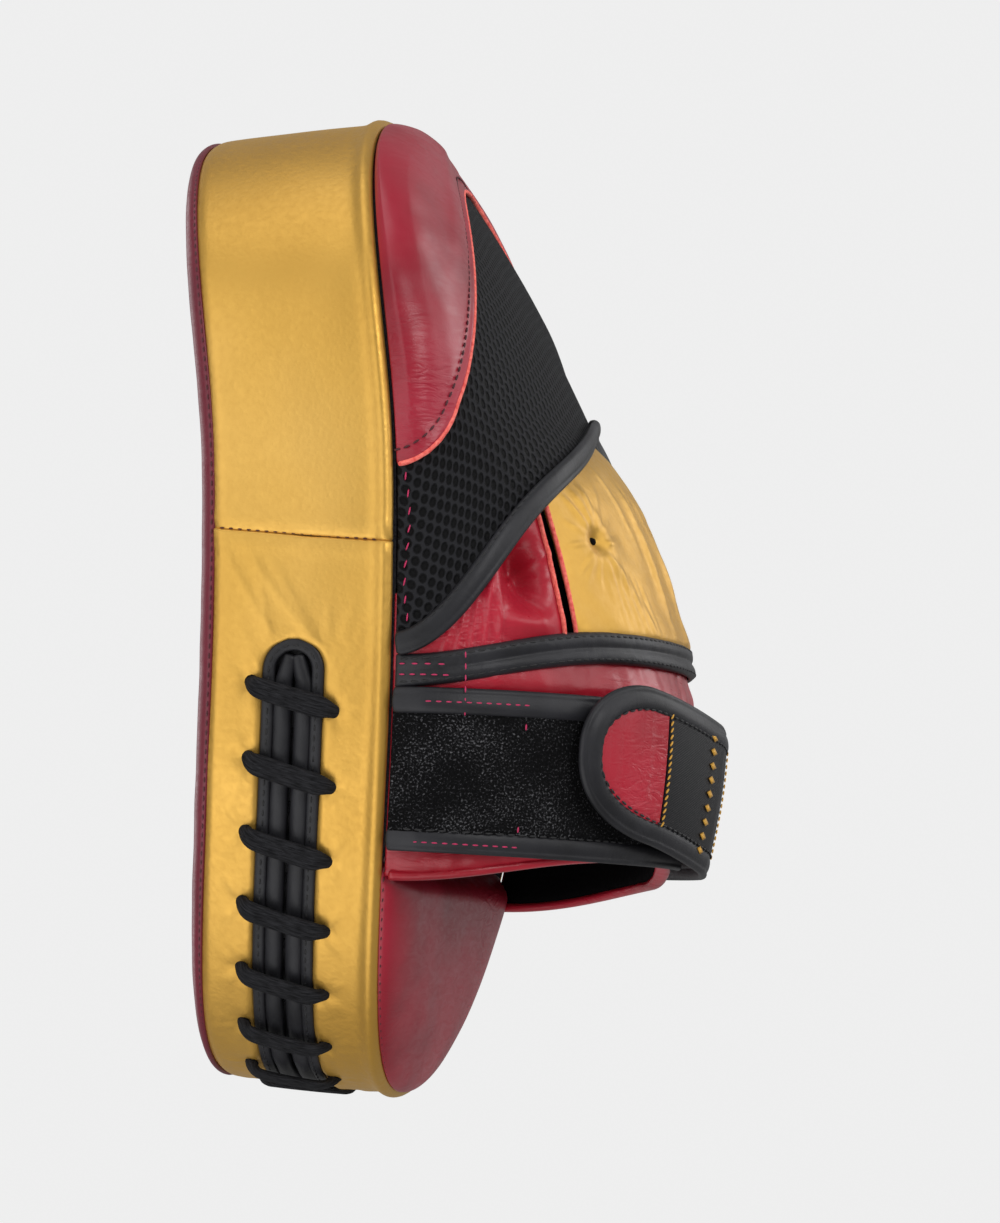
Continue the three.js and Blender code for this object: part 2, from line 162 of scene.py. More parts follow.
def band_centre(angle):
    return -36 - 9.4 * cosine(angle) ** 5


def cuff_lip(angle):
    return -91 - 8.7 * cosine(angle) ** 4 - 5.5 * ease((angle - 90) / 30)


def flap_end(v):
    """Angle of the flap's round end at share v of its width, from its lower edge."""
    return 43 + 17 * (1 - math.sqrt(1 - abs(2 * v - 1) ** 2.4))


# ---------------------------------------------------------------- the pad's side wall
def outline(turn):
    """A point of the pad's outline, turn in radians from the laced side, up over the crown."""
    c, n = math.cos(turn), math.sin(turn)
    x = HALF_WIDTH * math.copysign(abs(c) ** (2 / OUTLINE_POWER), c)
    if n > 0:
        return x, CROWN_CENTRE + CROWN_REACH * n ** (2 / OUTLINE_POWER)
    return x, HEEL_CENTRE - HEEL_REACH * abs(n) ** (2 / OUTLINE_POWER)


def lengths(points):
    total = [0.0]
    for a, b in zip(points, points[1:]):
        total.append(total[-1] + math.dist(a, b))
    return total


CROWN_LINE = [outline(math.pi * i / 900) for i in range(901)]
HEEL_LINE = [outline(-math.pi * i / 900) for i in range(901)]


class Wall:
    """The side wall from the laced side round one end, by the length run along it from station start."""

    def __init__(self, line, start):
        self.line = [(HALF_WIDTH, start)] + line + [(-HALF_WIDTH, start)]
        self.run = lengths(self.line)
        self.length = self.run[-1]

    def __call__(self, d, t, out=0.0):
        low, high = 0, len(self.run) - 1
        while high - low > 1:
            mid = (low + high) // 2
            low, high = (mid, high) if self.run[mid] <= d else (low, mid)
        (x0, s0), (x1, s1) = self.line[low], self.line[high]
        w = (d - self.run[low]) / max(1e-9, self.run[high] - self.run[low])
        tangent = Vector((x1 - x0, s1 - s0)).normalized()
        side = 1 if self.line[len(self.line) // 2][1] > 0 else -1
        return pad(x0 + (x1 - x0) * w + tangent.y * out * side, s0 + (s1 - s0) * w - tangent.x * out * side, t)


# ---------------------------------------------------------------- making pieces
MM = 0.001
MATERIALS = {}


def finished(name, bm, material, body, levels=0, thickness=0.0, replaces=()):
    mesh = bpy.data.meshes.new(name)
    bm.to_mesh(mesh)
    bm.free()
    mesh.polygons.foreach_set("use_smooth", [True] * len(mesh.polygons))
    piece = bpy.data.objects.new(name, mesh)
    bpy.context.scene.collection.objects.link(piece)
    mesh.materials.append(MATERIALS[material])
    if thickness:
        solidify = piece.modifiers.new("thickness", "SOLIDIFY")
        solidify.thickness = thickness * MM
        solidify.offset = -1
    if levels:
        subsurf = piece.modifiers.new("smooth", "SUBSURF")
        subsurf.levels = subsurf.render_levels = levels
    if body:
        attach(piece, body)
    if replaces:
        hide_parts(*replaces)
    return piece


def laid_grid(columns, rows, place, flip=False, gap=None):
    """A grid of the unit square with each corner put where place(u, v) says, and a UV map in metres."""
    bm = bmesh.new()
    bmesh.ops.create_grid(bm, x_segments=columns, y_segments=rows, size=0.5)
    if gap:
        middles = [(f, f.calc_center_median()) for f in bm.faces]
        bmesh.ops.delete(bm, geom=[f for f, c in middles if gap(c.x + 0.5, c.y + 0.5)], context="FACES")
    table = {}
    for vert in bm.verts:
        u, v = vert.co.x + 0.5, vert.co.y + 0.5
        table[round(u * columns), round(v * rows)] = vert
        vert.co = place(u, v)
    across, along = {}, {}
    middle = columns // 2
    for j in range(rows + 1):
        across[middle, j] = 0.0
        for i in range(middle + 1, columns + 1):
            across[i, j] = across[i - 1, j] + (table[i, j].co - table[i - 1, j].co).length
        for i in range(middle - 1, -1, -1):
            across[i, j] = across[i + 1, j] - (table[i, j].co - table[i + 1, j].co).length
    for i in range(columns + 1):
        along[i, 0] = 0.0
        for j in range(1, rows + 1):
            along[i, j] = along[i, j - 1] + (table[i, j].co - table[i, j - 1].co).length
    place_of = {vert: key for key, vert in table.items()}
    layer = bm.loops.layers.uv.new("UVMap")
    for face in bm.faces:
        for loop in face.loops:
            key = place_of[loop.vert]
            loop[layer].uv = across[key], along[key]
    if flip:
        bmesh.ops.reverse_faces(bm, faces=bm.faces)
    return bm


def sheet(name, columns, rows, place, material, body="mitt", levels=1, thickness=0.0, flip=False, replaces=()):
    bm = laid_grid(columns, rows, place, flip)
    bmesh.ops.remove_doubles(bm, verts=bm.verts, dist=2e-6)
    return finished(name, bm, material, body, levels, thickness, replaces)


def proud(place, height, step=0.004):
    """The same surface, with height(u, v) millimetres added along its normal."""
    def moved(u, v):
        du = place(min(1, u + step), v) - place(max(0, u - step), v)
        dv = place(u, min(1, v + step)) - place(u, max(0, v - step))
        normal = du.cross(dv)
        if normal.length < 1e-12:
            return place(u, v)
        return place(u, v) + normal.normalized() * height(u, v) * MM
    return moved


def gauss(x):
    return math.exp(-x * x)


def crease(u, v, start, end, width):
    """1 on the line from start to end, falling off across it and fading towards its end."""
    (ax, ay), (bx, by) = start, end
    dx, dy = bx - ax, by - ay
    w = ((u - ax) * dx + (v - ay) * dy) / (dx * dx + dy * dy)
    if not -0.2 < w < 1.2:
        return 0.0
    away = math.hypot(u - ax - w * dx, v - ay - w * dy)
    return gauss(away / width) * ease((w + 0.2) * 4) * ease((1.2 - w) * 1.4)


def path_frames(path, count, closed=False):
    """Points evenly spaced along path(u, off), each with its tangent, the way out and the way across."""
    fine = [path(i / 1200, 0.0) for i in range(1201)]
    run = [0.0]
    for a, b in zip(fine, fine[1:]):
        run.append(run[-1] + (b - a).length)
    frames, k = [], 0
    for i in range(count):
        want = run[-1] * (i / count if closed else i / (count - 1))
        while k < 1199 and run[k + 1] < want:
            k += 1
        u = (k + (want - run[k]) / max(1e-9, run[k + 1] - run[k])) / 1200
        low, high = max(0, u - 0.001), min(1, u + 0.001)
        along = (path(high, 0.0) - path(low, 0.0)).normalized()
        point = path(u, 0.0)
        out = path(u, 1.0) - point
        out = (out - along * out.dot(along)).normalized()
        frames.append((point, along, out, along.cross(out), u))
    return frames, run[-1]


def oval(width, height, power=3.0, sides=14, base=0.0):
    """The section of a flattened rod, in millimetres across and out."""
    points = []
    for i in range(sides):
        c, n = math.cos(2 * math.pi * i / sides), math.sin(2 * math.pi * i / sides)
        points.append((width / 2 * math.copysign(abs(c) ** (2 / power), c),
                       base + height / 2 * math.copysign(abs(n) ** (2 / power), n)))
    return points


def sweep(name, path, steps, section, material, body="mitt", levels=1, closed=False, shape=None, replaces=()):
    """A rod of the given section run along path. shape(u) gives its width and height there, as shares."""
    frames, length = path_frames(path, steps + (0 if closed else 1), closed)
    n = len(section)

    def place(u, v):
        i, j = round(u * steps) % len(frames), round(v * n) % n
        point, _, out, across, at = frames[i]
        wide, high = shape(at) if shape else (1, 1)
        return point + (across * section[j][0] * wide + out * section[j][1] * high) * MM

    bm = laid_grid(steps, n, place)
    bmesh.ops.remove_doubles(bm, verts=bm.verts, dist=2e-6)
    if not closed:
        bmesh.ops.holes_fill(bm, edges=[e for e in bm.edges if e.is_boundary], sides=0)
    bmesh.ops.recalc_face_normals(bm, faces=bm.faces)
    return finished(name, bm, material, body, levels, 0, replaces)


def hole_shade_discs(name, places, size):
    """Shallow discs of black lining cloth, painted shade standing in for the dark inside of punched holes: each place
    is the disc's middle and a point further out.
    """
    bm = bmesh.new()
    for middle, outer in places:
        turn = (outer - middle).to_track_quat("Z", "Y").to_matrix().to_4x4()
        bmesh.ops.create_uvsphere(bm, u_segments=12, v_segments=6, radius=1,
                                  matrix=Matrix.Translation(middle) @ turn @ Matrix.Diagonal((*size, 1)))
    return finished(name, bm, "brushed_lining", "mitt")


def stitches(name, runs, material, body="mitt", pitch=3.0, length=2.3, radius=0.3, slant=0.0):
    """Rows of thread, one small rounded stitch at a time, along each path in runs."""
    bm = bmesh.new()
    for path in runs:
        _, total = path_frames(path, 2)
        count = max(2, int(total / (pitch * MM)))
        for point, along, out, across, _ in path_frames(path, count)[0]:
            turned = (along + across * slant).normalized()
            basis = Matrix((turned.cross(out), out, turned)).transposed().to_4x4()
            size = Matrix.Diagonal((radius * MM, radius * MM * 0.8, length * MM / 2, 1))
            bmesh.ops.create_uvsphere(bm, u_segments=6, v_segments=4, radius=1,
                                      matrix=Matrix.Translation(point) @ basis @ size)
    return finished(name, bm, material, body)


# ---------------------------------------------------------------- materials
def linear(hex_colour):
    channels = [int(hex_colour[i:i + 2], 16) / 255 for i in (1, 3, 5)]
    return (*[c / 12.92 if c <= 0.04045 else ((c + 0.055) / 1.055) ** 2.4 for c in channels], 1)


def node(tree, kind, inputs=(), **settings):
    """Adds a shader node with its settings, and sets or links each of its inputs."""
    made = tree.nodes.new("ShaderNode" + kind)
    for key, value in settings.items():
        setattr(made, key, value)
    for key, value in dict(inputs).items():
        if isinstance(value, bpy.types.NodeSocket):
            tree.links.new(value, made.inputs[key])
        else:
            made.inputs[key].default_value = value
    return made


def material(name):
    made = bpy.data.materials.new(name)
    made.use_nodes = True
    made.node_tree.nodes.clear()
    MATERIALS[name] = made
    return made.node_tree


def surface(tree, **inputs):
    shader = node(tree, "BsdfPrincipled", {k.replace("_", " "): v for k, v in inputs.items()})
    node(tree, "OutputMaterial", {"Surface": shader.outputs["BSDF"]})


def ramp(tree, factor, *stops):
    made = node(tree, "ValToRGB", {"Fac": factor})
    elements = made.color_ramp.elements
    while len(elements) < len(stops):
        elements.new(0.5)
    for element, (position, colour) in zip(elements, stops):
        element.position = position
        element.color = linear(colour) if isinstance(colour, str) else (colour, colour, colour, 1)
    return made.outputs["Color"]


# Coated cowhide, pigmented deep maroon and glazed: a glossy film over a fine grain that wrinkles where it bends.
def glazed_hide(name, deep, body_colour, bright, rough, wrinkle):
    tree = material(name)
    place = node(tree, "TexCoord").outputs["Object"]
    cloud = node(tree, "TexNoise", {"Vector": place, "Scale": 26.0, "Detail": 3.0})
    colour = ramp(tree, cloud.outputs["Fac"], (0.28, deep), (0.5, body_colour), (0.74, bright))
    pores = node(tree, "TexVoronoi", {"Vector": place, "Scale": 1300.0}, feature="DISTANCE_TO_EDGE")
    grain = node(tree, "Bump", {"Height": pores.outputs["Distance"], "Strength": 0.10, "Distance": 0.0003})
    stretched = node(tree, "Mapping", {"Vector": place, "Scale": (1.0, 1.0, 3.2)})
    folds = node(tree, "TexNoise", {"Vector": stretched.outputs["Vector"], "Scale": 120.0, "Detail": 4.0,
                                    "Distortion": 1.4})
    where = node(tree, "TexNoise", {"Vector": place, "Scale": 18.0, "Detail": 1.0})
    mask = ramp(tree, where.outputs["Fac"], (0.46, 0.0), (0.68, 1.0))
    creased = node(tree, "Math", {0: folds.outputs["Fac"], 1: mask}, operation="MULTIPLY")
    bump = node(tree, "Bump", {"Height": creased.outputs[0], "Strength": wrinkle, "Distance": 0.0012,
                               "Normal": grain.outputs["Normal"]})
    gloss = node(tree, "MapRange", {"Value": folds.outputs["Fac"], "From Min": 0.3, "From Max": 0.7,
                                    "To Min": rough - 0.05, "To Max": rough + 0.08})
    surface(tree, Base_Color=colour, Roughness=gloss.outputs["Result"], IOR=1.5, Normal=bump.outputs["Normal"],
            Specular_IOR_Level=0.42, Coat_Weight=0.08, Coat_Roughness=0.2)


glazed_hide("maroon_hide", "#7A0F20", "#96172B", "#A42137", 0.34, 0.5)
glazed_hide("strike_hide", "#601225", "#681527", "#6F182C", 0.42, 0.2)
glazed_hide("scarlet_hide", "#8C101F", "#A81A2C", "#B82539", 0.32, 0.55)

# Cowhide with a pressed gold foil: a metal film that follows a soft pebbled grain, so highlights break into grit.
tree = material("gold_foil_hide")
place = node(tree, "TexCoord").outputs["Object"]
cloud = node(tree, "TexNoise", {"Vector": place, "Scale": 14.0, "Detail": 2.0})
colour = ramp(tree, cloud.outputs["Fac"], (0.25, "#C4963F"), (0.55, "#D3A54C"), (0.8, "#DDB05A"))
pebble = node(tree, "TexVoronoi", {"Vector": place, "Scale": 900.0, "Randomness": 1.0}, feature="SMOOTH_F1")
fine = node(tree, "TexNoise", {"Vector": place, "Scale": 600.0, "Detail": 3.0})
height = node(tree, "Math", {0: pebble.outputs["Distance"], 1: fine.outputs["Fac"]}, operation="ADD")
bump = node(tree, "Bump", {"Height": height.outputs[0], "Strength": 0.2, "Distance": 0.00022})
pull = node(tree, "TexNoise", {"Vector": place, "Scale": 70.0, "Detail": 3.0, "Distortion": 0.8})
soft = node(tree, "Bump", {"Height": pull.outputs["Fac"], "Strength": 0.05, "Distance": 0.0007,
                           "Normal": bump.outputs["Normal"]})
gloss = node(tree, "MapRange", {"Value": fine.outputs["Fac"], "From Min": 0.3, "From Max": 0.7,
                                "To Min": 0.36, "To Max": 0.5})
surface(tree, Base_Color=colour, Metallic=0.72, Roughness=gloss.outputs["Result"], Normal=soft.outputs["Normal"])

# Black garment hide for bindings and facings: semi-matte with a tight grain.
tree = material("black_hide")
place = node(tree, "TexCoord").outputs["Object"]
cloud = node(tree, "TexNoise", {"Vector": place, "Scale": 60.0, "Detail": 4.0})
colour = ramp(tree, cloud.outputs["Fac"], (0.3, "#17171A"), (0.7, "#27272B"))
pores = node(tree, "TexVoronoi", {"Vector": place, "Scale": 1500.0}, feature="DISTANCE_TO_EDGE")
fold = node(tree, "TexNoise", {"Vector": place, "Scale": 160.0, "Detail": 5.0, "Distortion": 1.0})
grain = node(tree, "Bump", {"Height": pores.outputs["Distance"], "Strength": 0.15, "Distance": 0.0003})
bump = node(tree, "Bump", {"Height": fold.outputs["Fac"], "Strength": 0.3, "Distance": 0.0006,
                           "Normal": grain.outputs["Normal"]})
surface(tree, Base_Color=colour, Roughness=0.46, Specular_IOR_Level=0.32, Normal=bump.outputs["Normal"])

# Warp-knitted spacer mesh: staggered oval cells 3.6 mm apart in a shiny black yarn, over a dark inner layer; each
# cell's middle is painted near black, the inner layer's own dark deepened by painted shade in the hole.
tree = material("spacer_mesh")
uv = node(tree, "UVMap").outputs["UV"]
CELL = (0.0036, 0.0058, 1.0)
nearest = []
for shift in ((0, 0, 0), (0.0018, 0.0029, 0)):
    moved = node(tree, "VectorMath", {0: uv, 1: shift}, operation="ADD")
    cell = node(tree, "VectorMath", {0: moved.outputs[0], 1: tuple(c / 2 for c in CELL),
                                     2: tuple(-c / 2 for c in CELL)}, operation="WRAP")
    flat = node(tree, "VectorMath", {0: cell.outputs[0], 1: (1.0, 0.82, 0.0)}, operation="MULTIPLY")
    nearest.append(node(tree, "VectorMath", {0: flat.outputs[0]}, operation="LENGTH").outputs["Value"])
cell = node(tree, "Math", {0: nearest[0], 1: nearest[1]}, operation="MINIMUM")
yarn = node(tree, "TexNoise", {"Vector": uv, "Scale": 2600.0, "Detail": 2.0})
ragged = node(tree, "Math", {0: yarn.outputs["Fac"], 1: 0.0004, 2: cell.outputs[0]}, operation="MULTIPLY_ADD")
wall = node(tree, "MapRange", {"Value": ragged.outputs[0], "From Min": 0.00085, "From Max": 0.00150})
# painted shade: the colour falls to near black towards each cell's middle, the shade in the hole over the dark inner
# layer
colour = ramp(tree, wall.outputs["Result"], (0.1, "#040405"), (0.55, "#121214"), (0.95, "#212124"))
weave = node(tree, "Bump", {"Height": wall.outputs["Result"], "Strength": 1.0, "Distance": 0.0010})
strand = node(tree, "Bump", {"Height": yarn.outputs["Fac"], "Strength": 0.35, "Distance": 0.0003,
                             "Normal": weave.outputs["Normal"]})
surface(tree, Base_Color=colour, Roughness=0.7, Specular_IOR_Level=0.14, Normal=strand.outputs["Normal"])

# Brushed nylon loop: a deep black pile; the specks of light its curled loops catch are painted into its colour as pale
# grey flecks, a painted highlight.
tree = material("loop_pile")
uv = node(tree, "UVMap").outputs["UV"]
curls = node(tree, "TexNoise", {"Vector": uv, "Scale": 1500.0, "Detail": 4.0, "Roughness": 0.7})
patch = node(tree, "TexNoise", {"Vector": uv, "Scale": 60.0, "Detail": 2.0})
painted_glint_mask = node(tree, "Math", {0: patch.outputs["Fac"], 1: 0.22, 2: curls.outputs["Fac"]}, operation="MULTIPLY_ADD")
# painted highlight: where the curl noise peaks the colour turns pale grey, standing in for light caught by the loops
colour = ramp(tree, painted_glint_mask.outputs[0], (0.58, "#060607"), (0.68, "#161618"), (0.78, "#6A6A6D"))
bump = node(tree, "Bump", {"Height": curls.outputs["Fac"], "Strength": 0.9, "Distance": 0.0009})
surface(tree, Base_Color=colour, Roughness=0.9, Specular_IOR_Level=0.12, Normal=bump.outputs["Normal"])

# Flat cotton lace: matte black, with ribs of yarn running along it.
tree = material("lace_weave")
uv = node(tree, "UVMap").outputs["UV"]
along = node(tree, "Mapping", {"Vector": uv, "Scale": (260.0, 2400.0, 1.0)})
ribs = node(tree, "TexNoise", {"Vector": along.outputs["Vector"], "Scale": 1.0, "Detail": 4.0, "Distortion": 0.5})
colour = ramp(tree, ribs.outputs["Fac"], (0.35, "#101012"), (0.7, "#2E2E31"))
bump = node(tree, "Bump", {"Height": ribs.outputs["Fac"], "Strength": 0.9, "Distance": 0.0007})
surface(tree, Base_Color=colour, Roughness=0.9, Specular_IOR_Level=0.15, Normal=bump.outputs["Normal"])

def plain(name, kind, output, scale, detail, stops, bump, **finish):
    """A matte stuff with one fine pattern, which gives both its tone and its relief."""
    tree = material(name)
    inputs = {"Vector": node(tree, "TexCoord").outputs["Object"], "Scale": scale}
    pattern = node(tree, kind, inputs | ({"Detail": detail} if detail else {})).outputs[output]
    relief = node(tree, "Bump", {"Height": pattern, "Strength": bump[0], "Distance": bump[1]})
    surface(tree, Base_Color=ramp(tree, pattern, *stops), Normal=relief.outputs["Normal"], **finish)


# The raw flesh side at a cut edge: fuzzy suede dyed coral.
plain("raw_hide_edge", "TexNoise", "Fac", 900.0, 4.0, ((0.3, "#DC4A44"), (0.7, "#FF8578")), (0.6, 0.0006),
      Roughness=0.95)
# Knitted elastic and brushed lining: dead black textiles.
plain("elastic_knit", "TexNoise", "Fac", 1400.0, 3.0, ((0.3, "#060607"), (0.8, "#0E0E10")), (0.5, 0.0005),
      Roughness=0.95, Specular_IOR_Level=0.1)
plain("brushed_lining", "TexNoise", "Fac", 700.0, 3.0, ((0.3, "#060607"), (0.8, "#0B0B0D")), (0.5, 0.0005),
      Roughness=0.95, Specular_IOR_Level=0.1)
# Closed-cell foam, die-cut: dull mid grey, with a fine pitted cell on its cut faces.
plain("closed_cell_foam", "TexVoronoi", "Distance", 1300.0, None, ((0.1, "#333338"), (0.8, "#4A4A50")),
      (0.4, 0.0003), Roughness=0.8, Specular_IOR_Level=0.2)

# Woven satin label: black, with fine ribs of thread across it.
tree = material("woven_label")
uv = node(tree, "UVMap").outputs["UV"]
threads = node(tree, "TexWave", {"Vector": uv, "Scale": 700.0, "Distortion": 0.5}, bands_direction="Y")
colour = ramp(tree, threads.outputs["Fac"], (0.2, "#0D0D0F"), (0.8, "#1A1A1D"))
bump = node(tree, "Bump", {"Height": threads.outputs["Fac"], "Strength": 0.25, "Distance": 0.0002})
surface(tree, Base_Color=colour, Roughness=0.5, Specular_IOR_Level=0.2, Normal=bump.outputs["Normal"])

# Bonded polyester thread, twisted.
for name, shade in (("black_thread", "#101012"), ("pink_thread", "#A31C4B"), ("wine_thread", "#3E0A14"),
                    ("gold_thread", "#B98A2E")):
    tree = material(name)
    place = node(tree, "TexCoord").outputs["Object"]
    twist = node(tree, "TexNoise", {"Vector": place, "Scale": 2500.0, "Detail": 2.0})
    tone = node(tree, "MixRGB", {"Fac": twist.outputs["Fac"], "Color1": linear(shade),
                                 "Color2": tuple(min(1, 1.6 * c) for c in linear(shade)[:3]) + (1,)})
    surface(tree, Base_Color=tone.outputs["Color"], Roughness=0.6)

# Matte pale paper of the backdrop.
tree = material("backdrop_paper")
place = node(tree, "TexCoord").outputs["Object"]
fibre = node(tree, "TexNoise", {"Vector": place, "Scale": 300.0, "Detail": 2.0})
colour = ramp(tree, fibre.outputs["Fac"], (0.3, "#5C5C5C"), (0.7, "#606060"))
surface(tree, Base_Color=colour, Roughness=0.9, Specular_IOR_Level=0.0, Emission_Color=(1, 1, 1, 1),
        Emission_Strength=0.81)


# ---------------------------------------------------------------- the pad
def rho(x, s):
    """0 at the middle of the pad's outline and 1 on it."""
    share = max((s - CROWN_CENTRE) / CROWN_REACH, (HEEL_CENTRE - s) / HEEL_REACH, 0)
    return (clamp(abs(x) / HALF_WIDTH) ** OUTLINE_POWER + clamp(share) ** OUTLINE_POWER) ** (1 / OUTLINE_POWER)


def station(v):
    """Stations of a panel's rows, crowded at both ends where the outline turns."""
    return HEEL + (TIP - HEEL) * (1 - math.cos(math.pi * (0.002 + 0.996 * v))) / 2


def strike(u, v):
    s = station(v)
    x = math.copysign(abs(2 * u - 1) ** 0.8, 2 * u - 1) * half_width(s)
    edge = (1 - rho(x, s)) * HALF_WIDTH
    rim = math.sqrt(max(0, 1 - (1 - min(edge, 8) / 8) ** 2))
    puckers = 0.25 * noise.noise(Vector((x, s, 0)) * 0.09)
    return pad(x, s, FRONT + 0.4 - 4.9 * rim - 1.6 * ease(edge / 60) + puckers * rim)


strike_cover = sheet("strike_cover", 72, 120, strike, "strike_hide", thickness=1.6, replaces=["strike_panel"])


def heel_panel(u, v):
    s = station(v)
    x = math.copysign(abs(2 * u - 1) ** 0.8, 2 * u - 1) * half_width(s)
    edge = (1 - rho(x, s)) * HALF_WIDTH
    rim = math.sqrt(max(0, 1 - (1 - min(edge, 15) / 15) ** 2))
    under = ease((s + 101) / 6)  # 1 where the hand pocket covers the panel
    high = 6.2 * rim + 0.3 * noise.noise(Vector((x, s, 9)) * 0.06) * rim
    return pad(x * (1 - 0.022 * under), s - 2.0 * under * ease((s - 80) / 30),
               BACK - 0.3 + high * (1 - 0.9 * under) - under)


back_cover = sheet("back_cover", 72, 120, heel_panel, "maroon_hide", thickness=1.4, flip=True,
                   replaces=["back_panel"])

SEAM = -9.0
crown_wall = Wall(CROWN_LINE, SEAM)
heel_wall = Wall([p for p in HEEL_LINE if p[1] < SEAM], SEAM)
SLOT_START = 28.5  # along the heel wall from its seam
SLOT_CENTRE = -1.8
SLOT_HALF = 8.2
LACE_PITCH, CROSSINGS = 20.8, 9
SLOT_LENGTH = LACE_PITCH * (CROSSINGS + 0.1)
HOLE_SPREAD, SLANT = 11.4, 3.7
HOLES = [SLOT_START + 15.5 + i * LACE_PITCH for i in range(CROSSINGS)]


def slot_half(d):
    """Half the slot's width at length d along the heel wall."""
    near = min(d - SLOT_START, SLOT_START + SLOT_LENGTH - d)
    return SLOT_HALF * math.sqrt(max(0, 1 - (1 - clamp(near / SLOT_HALF)) ** 2))


def wall_profile(t):
    """How far the wall stands out across its width: rolled at the back seam, tucked in at both seams."""
    edge = BACK - t
    roll = 1.5 * gauss((edge - 2.4) / 2.3) - 1.1 * gauss(edge / 1.1)
    return roll - 1.3 * gauss((t - FRONT) / 1.5) + 0.7 * (1 - (t / 26) ** 2)


# The fan at the slot's head: start (d, t), end (d, t) and height.
FAN = [(-3.0, -9.0, -26.0, -24.0, 0.5), (-1.5, -8.5, -22.0, -13.0, 0.35), (-1.0, 2.5, -24.0, -16.0, 0.5),
       (0.0, 4.5, -22.0, -9.0, 0.4), (4.0, 7.5, -12.0, 8.0, 0.3), (7.0, 9.5, -9.0, 15.0, 0.4),
       (10.0, 11.0, -6.0, 19.0, 0.4), (13.0, 12.0, 0.0, 21.0, 0.35), (16.0, 12.5, 6.0, 22.0, 0.3),
       (19.5, 13.0, 13.0, 22.0, 0.3), (9.0, -10.5, -4.0, -17.0, 0.4)]


def wall_pull(d, t):
    """Creases pulled into the wall by the lace: a fan at the slot's head and short ones at each hole."""
    total = 0.0
    for d0, t0, d1, t1, high in FAN:
        total += 0.6 * high * crease(d - SLOT_START, t, (d0, t0), (d1, t1), 1.0)
    for i, hole in enumerate(HOLES):
        for side in (-1, 1):
            at, row = hole + side * SLANT, SLOT_CENTRE + side * HOLE_SPREAD
            away = math.hypot(d - at, t - row)
            if away > 14:
                continue
            total -= 1.0 * gauss(away / 3.0)
            for k in range(4):
                turn = 0.9 * (k - 1.5) + 0.5 * math.sin(7 * i + 3 * k)
                tip = (at + 9 * math.sin(turn), row + side * 9 * math.cos(turn))
                total += 0.22 * crease(d, t, (at, row), tip, 0.9)
    return total


def seam_tuck(d, length):
    return sum(0.35 * gauss((x - 3.2) / 2.2) - 0.45 * gauss(x / 1.5) for x in (d, length - d))


def crown_side(u, v):
    d = -0.5 + (crown_wall.length + 1) * u
    t = FRONT + (BACK - FRONT) * v
    shift = 4.0 * (v - 0.5) * (1 - ease(d / 25))
    billow = 0.35 * noise.noise(Vector((d * 0.03, t * 0.05, 3)))
    return crown_wall(d - shift, t, wall_profile(t) + seam_tuck(d, crown_wall.length) + billow)


sheet("gusset_crown", 210, 36, crown_side, "gold_foil_hide", thickness=1.4, flip=True,
      replaces=["gusset_upper"])

HEEL_COLUMNS, HEEL_ROWS = 270, 41
LIP = 1 / HEEL_ROWS  # the strip of the grid that the slot opens along


def heel_side(u, v):
    d = heel_wall.length * u
    half = slot_half(d)
    if v < 0.5:
        w = clamp(v / (0.5 - LIP / 2))
        t = FRONT + (SLOT_CENTRE - half - FRONT) * w
    else:
        w = clamp((1 - v) / (0.5 - LIP / 2))
        t = BACK - (BACK - SLOT_CENTRE - half) * w
    tuck = -1.2 * gauss((abs(t - SLOT_CENTRE) - half) / 0.9) * ease(half / 3)
    ripple = 0.45 * noise.noise(Vector((d * 0.035, t * 0.06, 5)))
    shift = 4.0 * (v - 0.5) * (1 - ease(d / 25))
    out = wall_profile(t) + wall_pull(d, t) + tuck + seam_tuck(d, heel_wall.length) + ripple
    return heel_wall(d + shift, t, out)


bm = laid_grid(HEEL_COLUMNS, HEEL_ROWS, heel_side,
               gap=lambda u, v: abs(v - 0.5) < LIP / 2 and slot_half(heel_wall.length * u) > 0.3)
bmesh.ops.remove_doubles(bm, verts=bm.verts, dist=2e-5)
finished("gusset_heel", bm, "gold_foil_hide", "mitt", 1, 1.4, ["gusset_lower"])


# ---------------------------------------------------------------- the laced closure
def slot_ring(inset, depth):
    """The slot's round-ended outline, drawn in by inset, as a path on the wall."""
    half = SLOT_HALF - inset
    straight = SLOT_LENGTH - 2 * SLOT_HALF
    total = 2 * straight + 2 * math.pi * half

    def path(u, off):
        run = (u % 1) * total
        if run < straight:
            d, t = SLOT_START + SLOT_HALF + run, -half
        elif run < straight + math.pi * half:
            turn = (run - straight) / half
            d, t = SLOT_START + SLOT_LENGTH - SLOT_HALF + half * math.sin(turn), -half * math.cos(turn)
        elif run < 2 * straight + math.pi * half:
            d, t = SLOT_START + SLOT_LENGTH - SLOT_HALF - (run - straight - math.pi * half), half
        else:
            turn = (run - 2 * straight - math.pi * half) / half
            d, t = SLOT_START + SLOT_HALF - half * math.sin(turn), half * math.cos(turn)
        return heel_wall(d, SLOT_CENTRE + t, depth + off)
    return path


sweep("slot_facing", slot_ring(1.3, -0.6), 260, oval(3.6, 2.2, 2.6), "black_hide", closed=True,
      replaces=["slot_rim_front", "slot_rim_back"])
stitches("slot_stitching", [slot_ring(1.5, 0.45)], "black_thread", pitch=2.8, length=1.9, radius=0.3)


def roll_path(side):
    def path(u, off):
        d = SLOT_START + 4 + (SLOT_LENGTH - 8) * u
        lean = min(1, min(u, 1 - u) * 22)
        return heel_wall(d, SLOT_CENTRE + side * (0.9 + 2.1 * lean), off - 1.5)
    return path


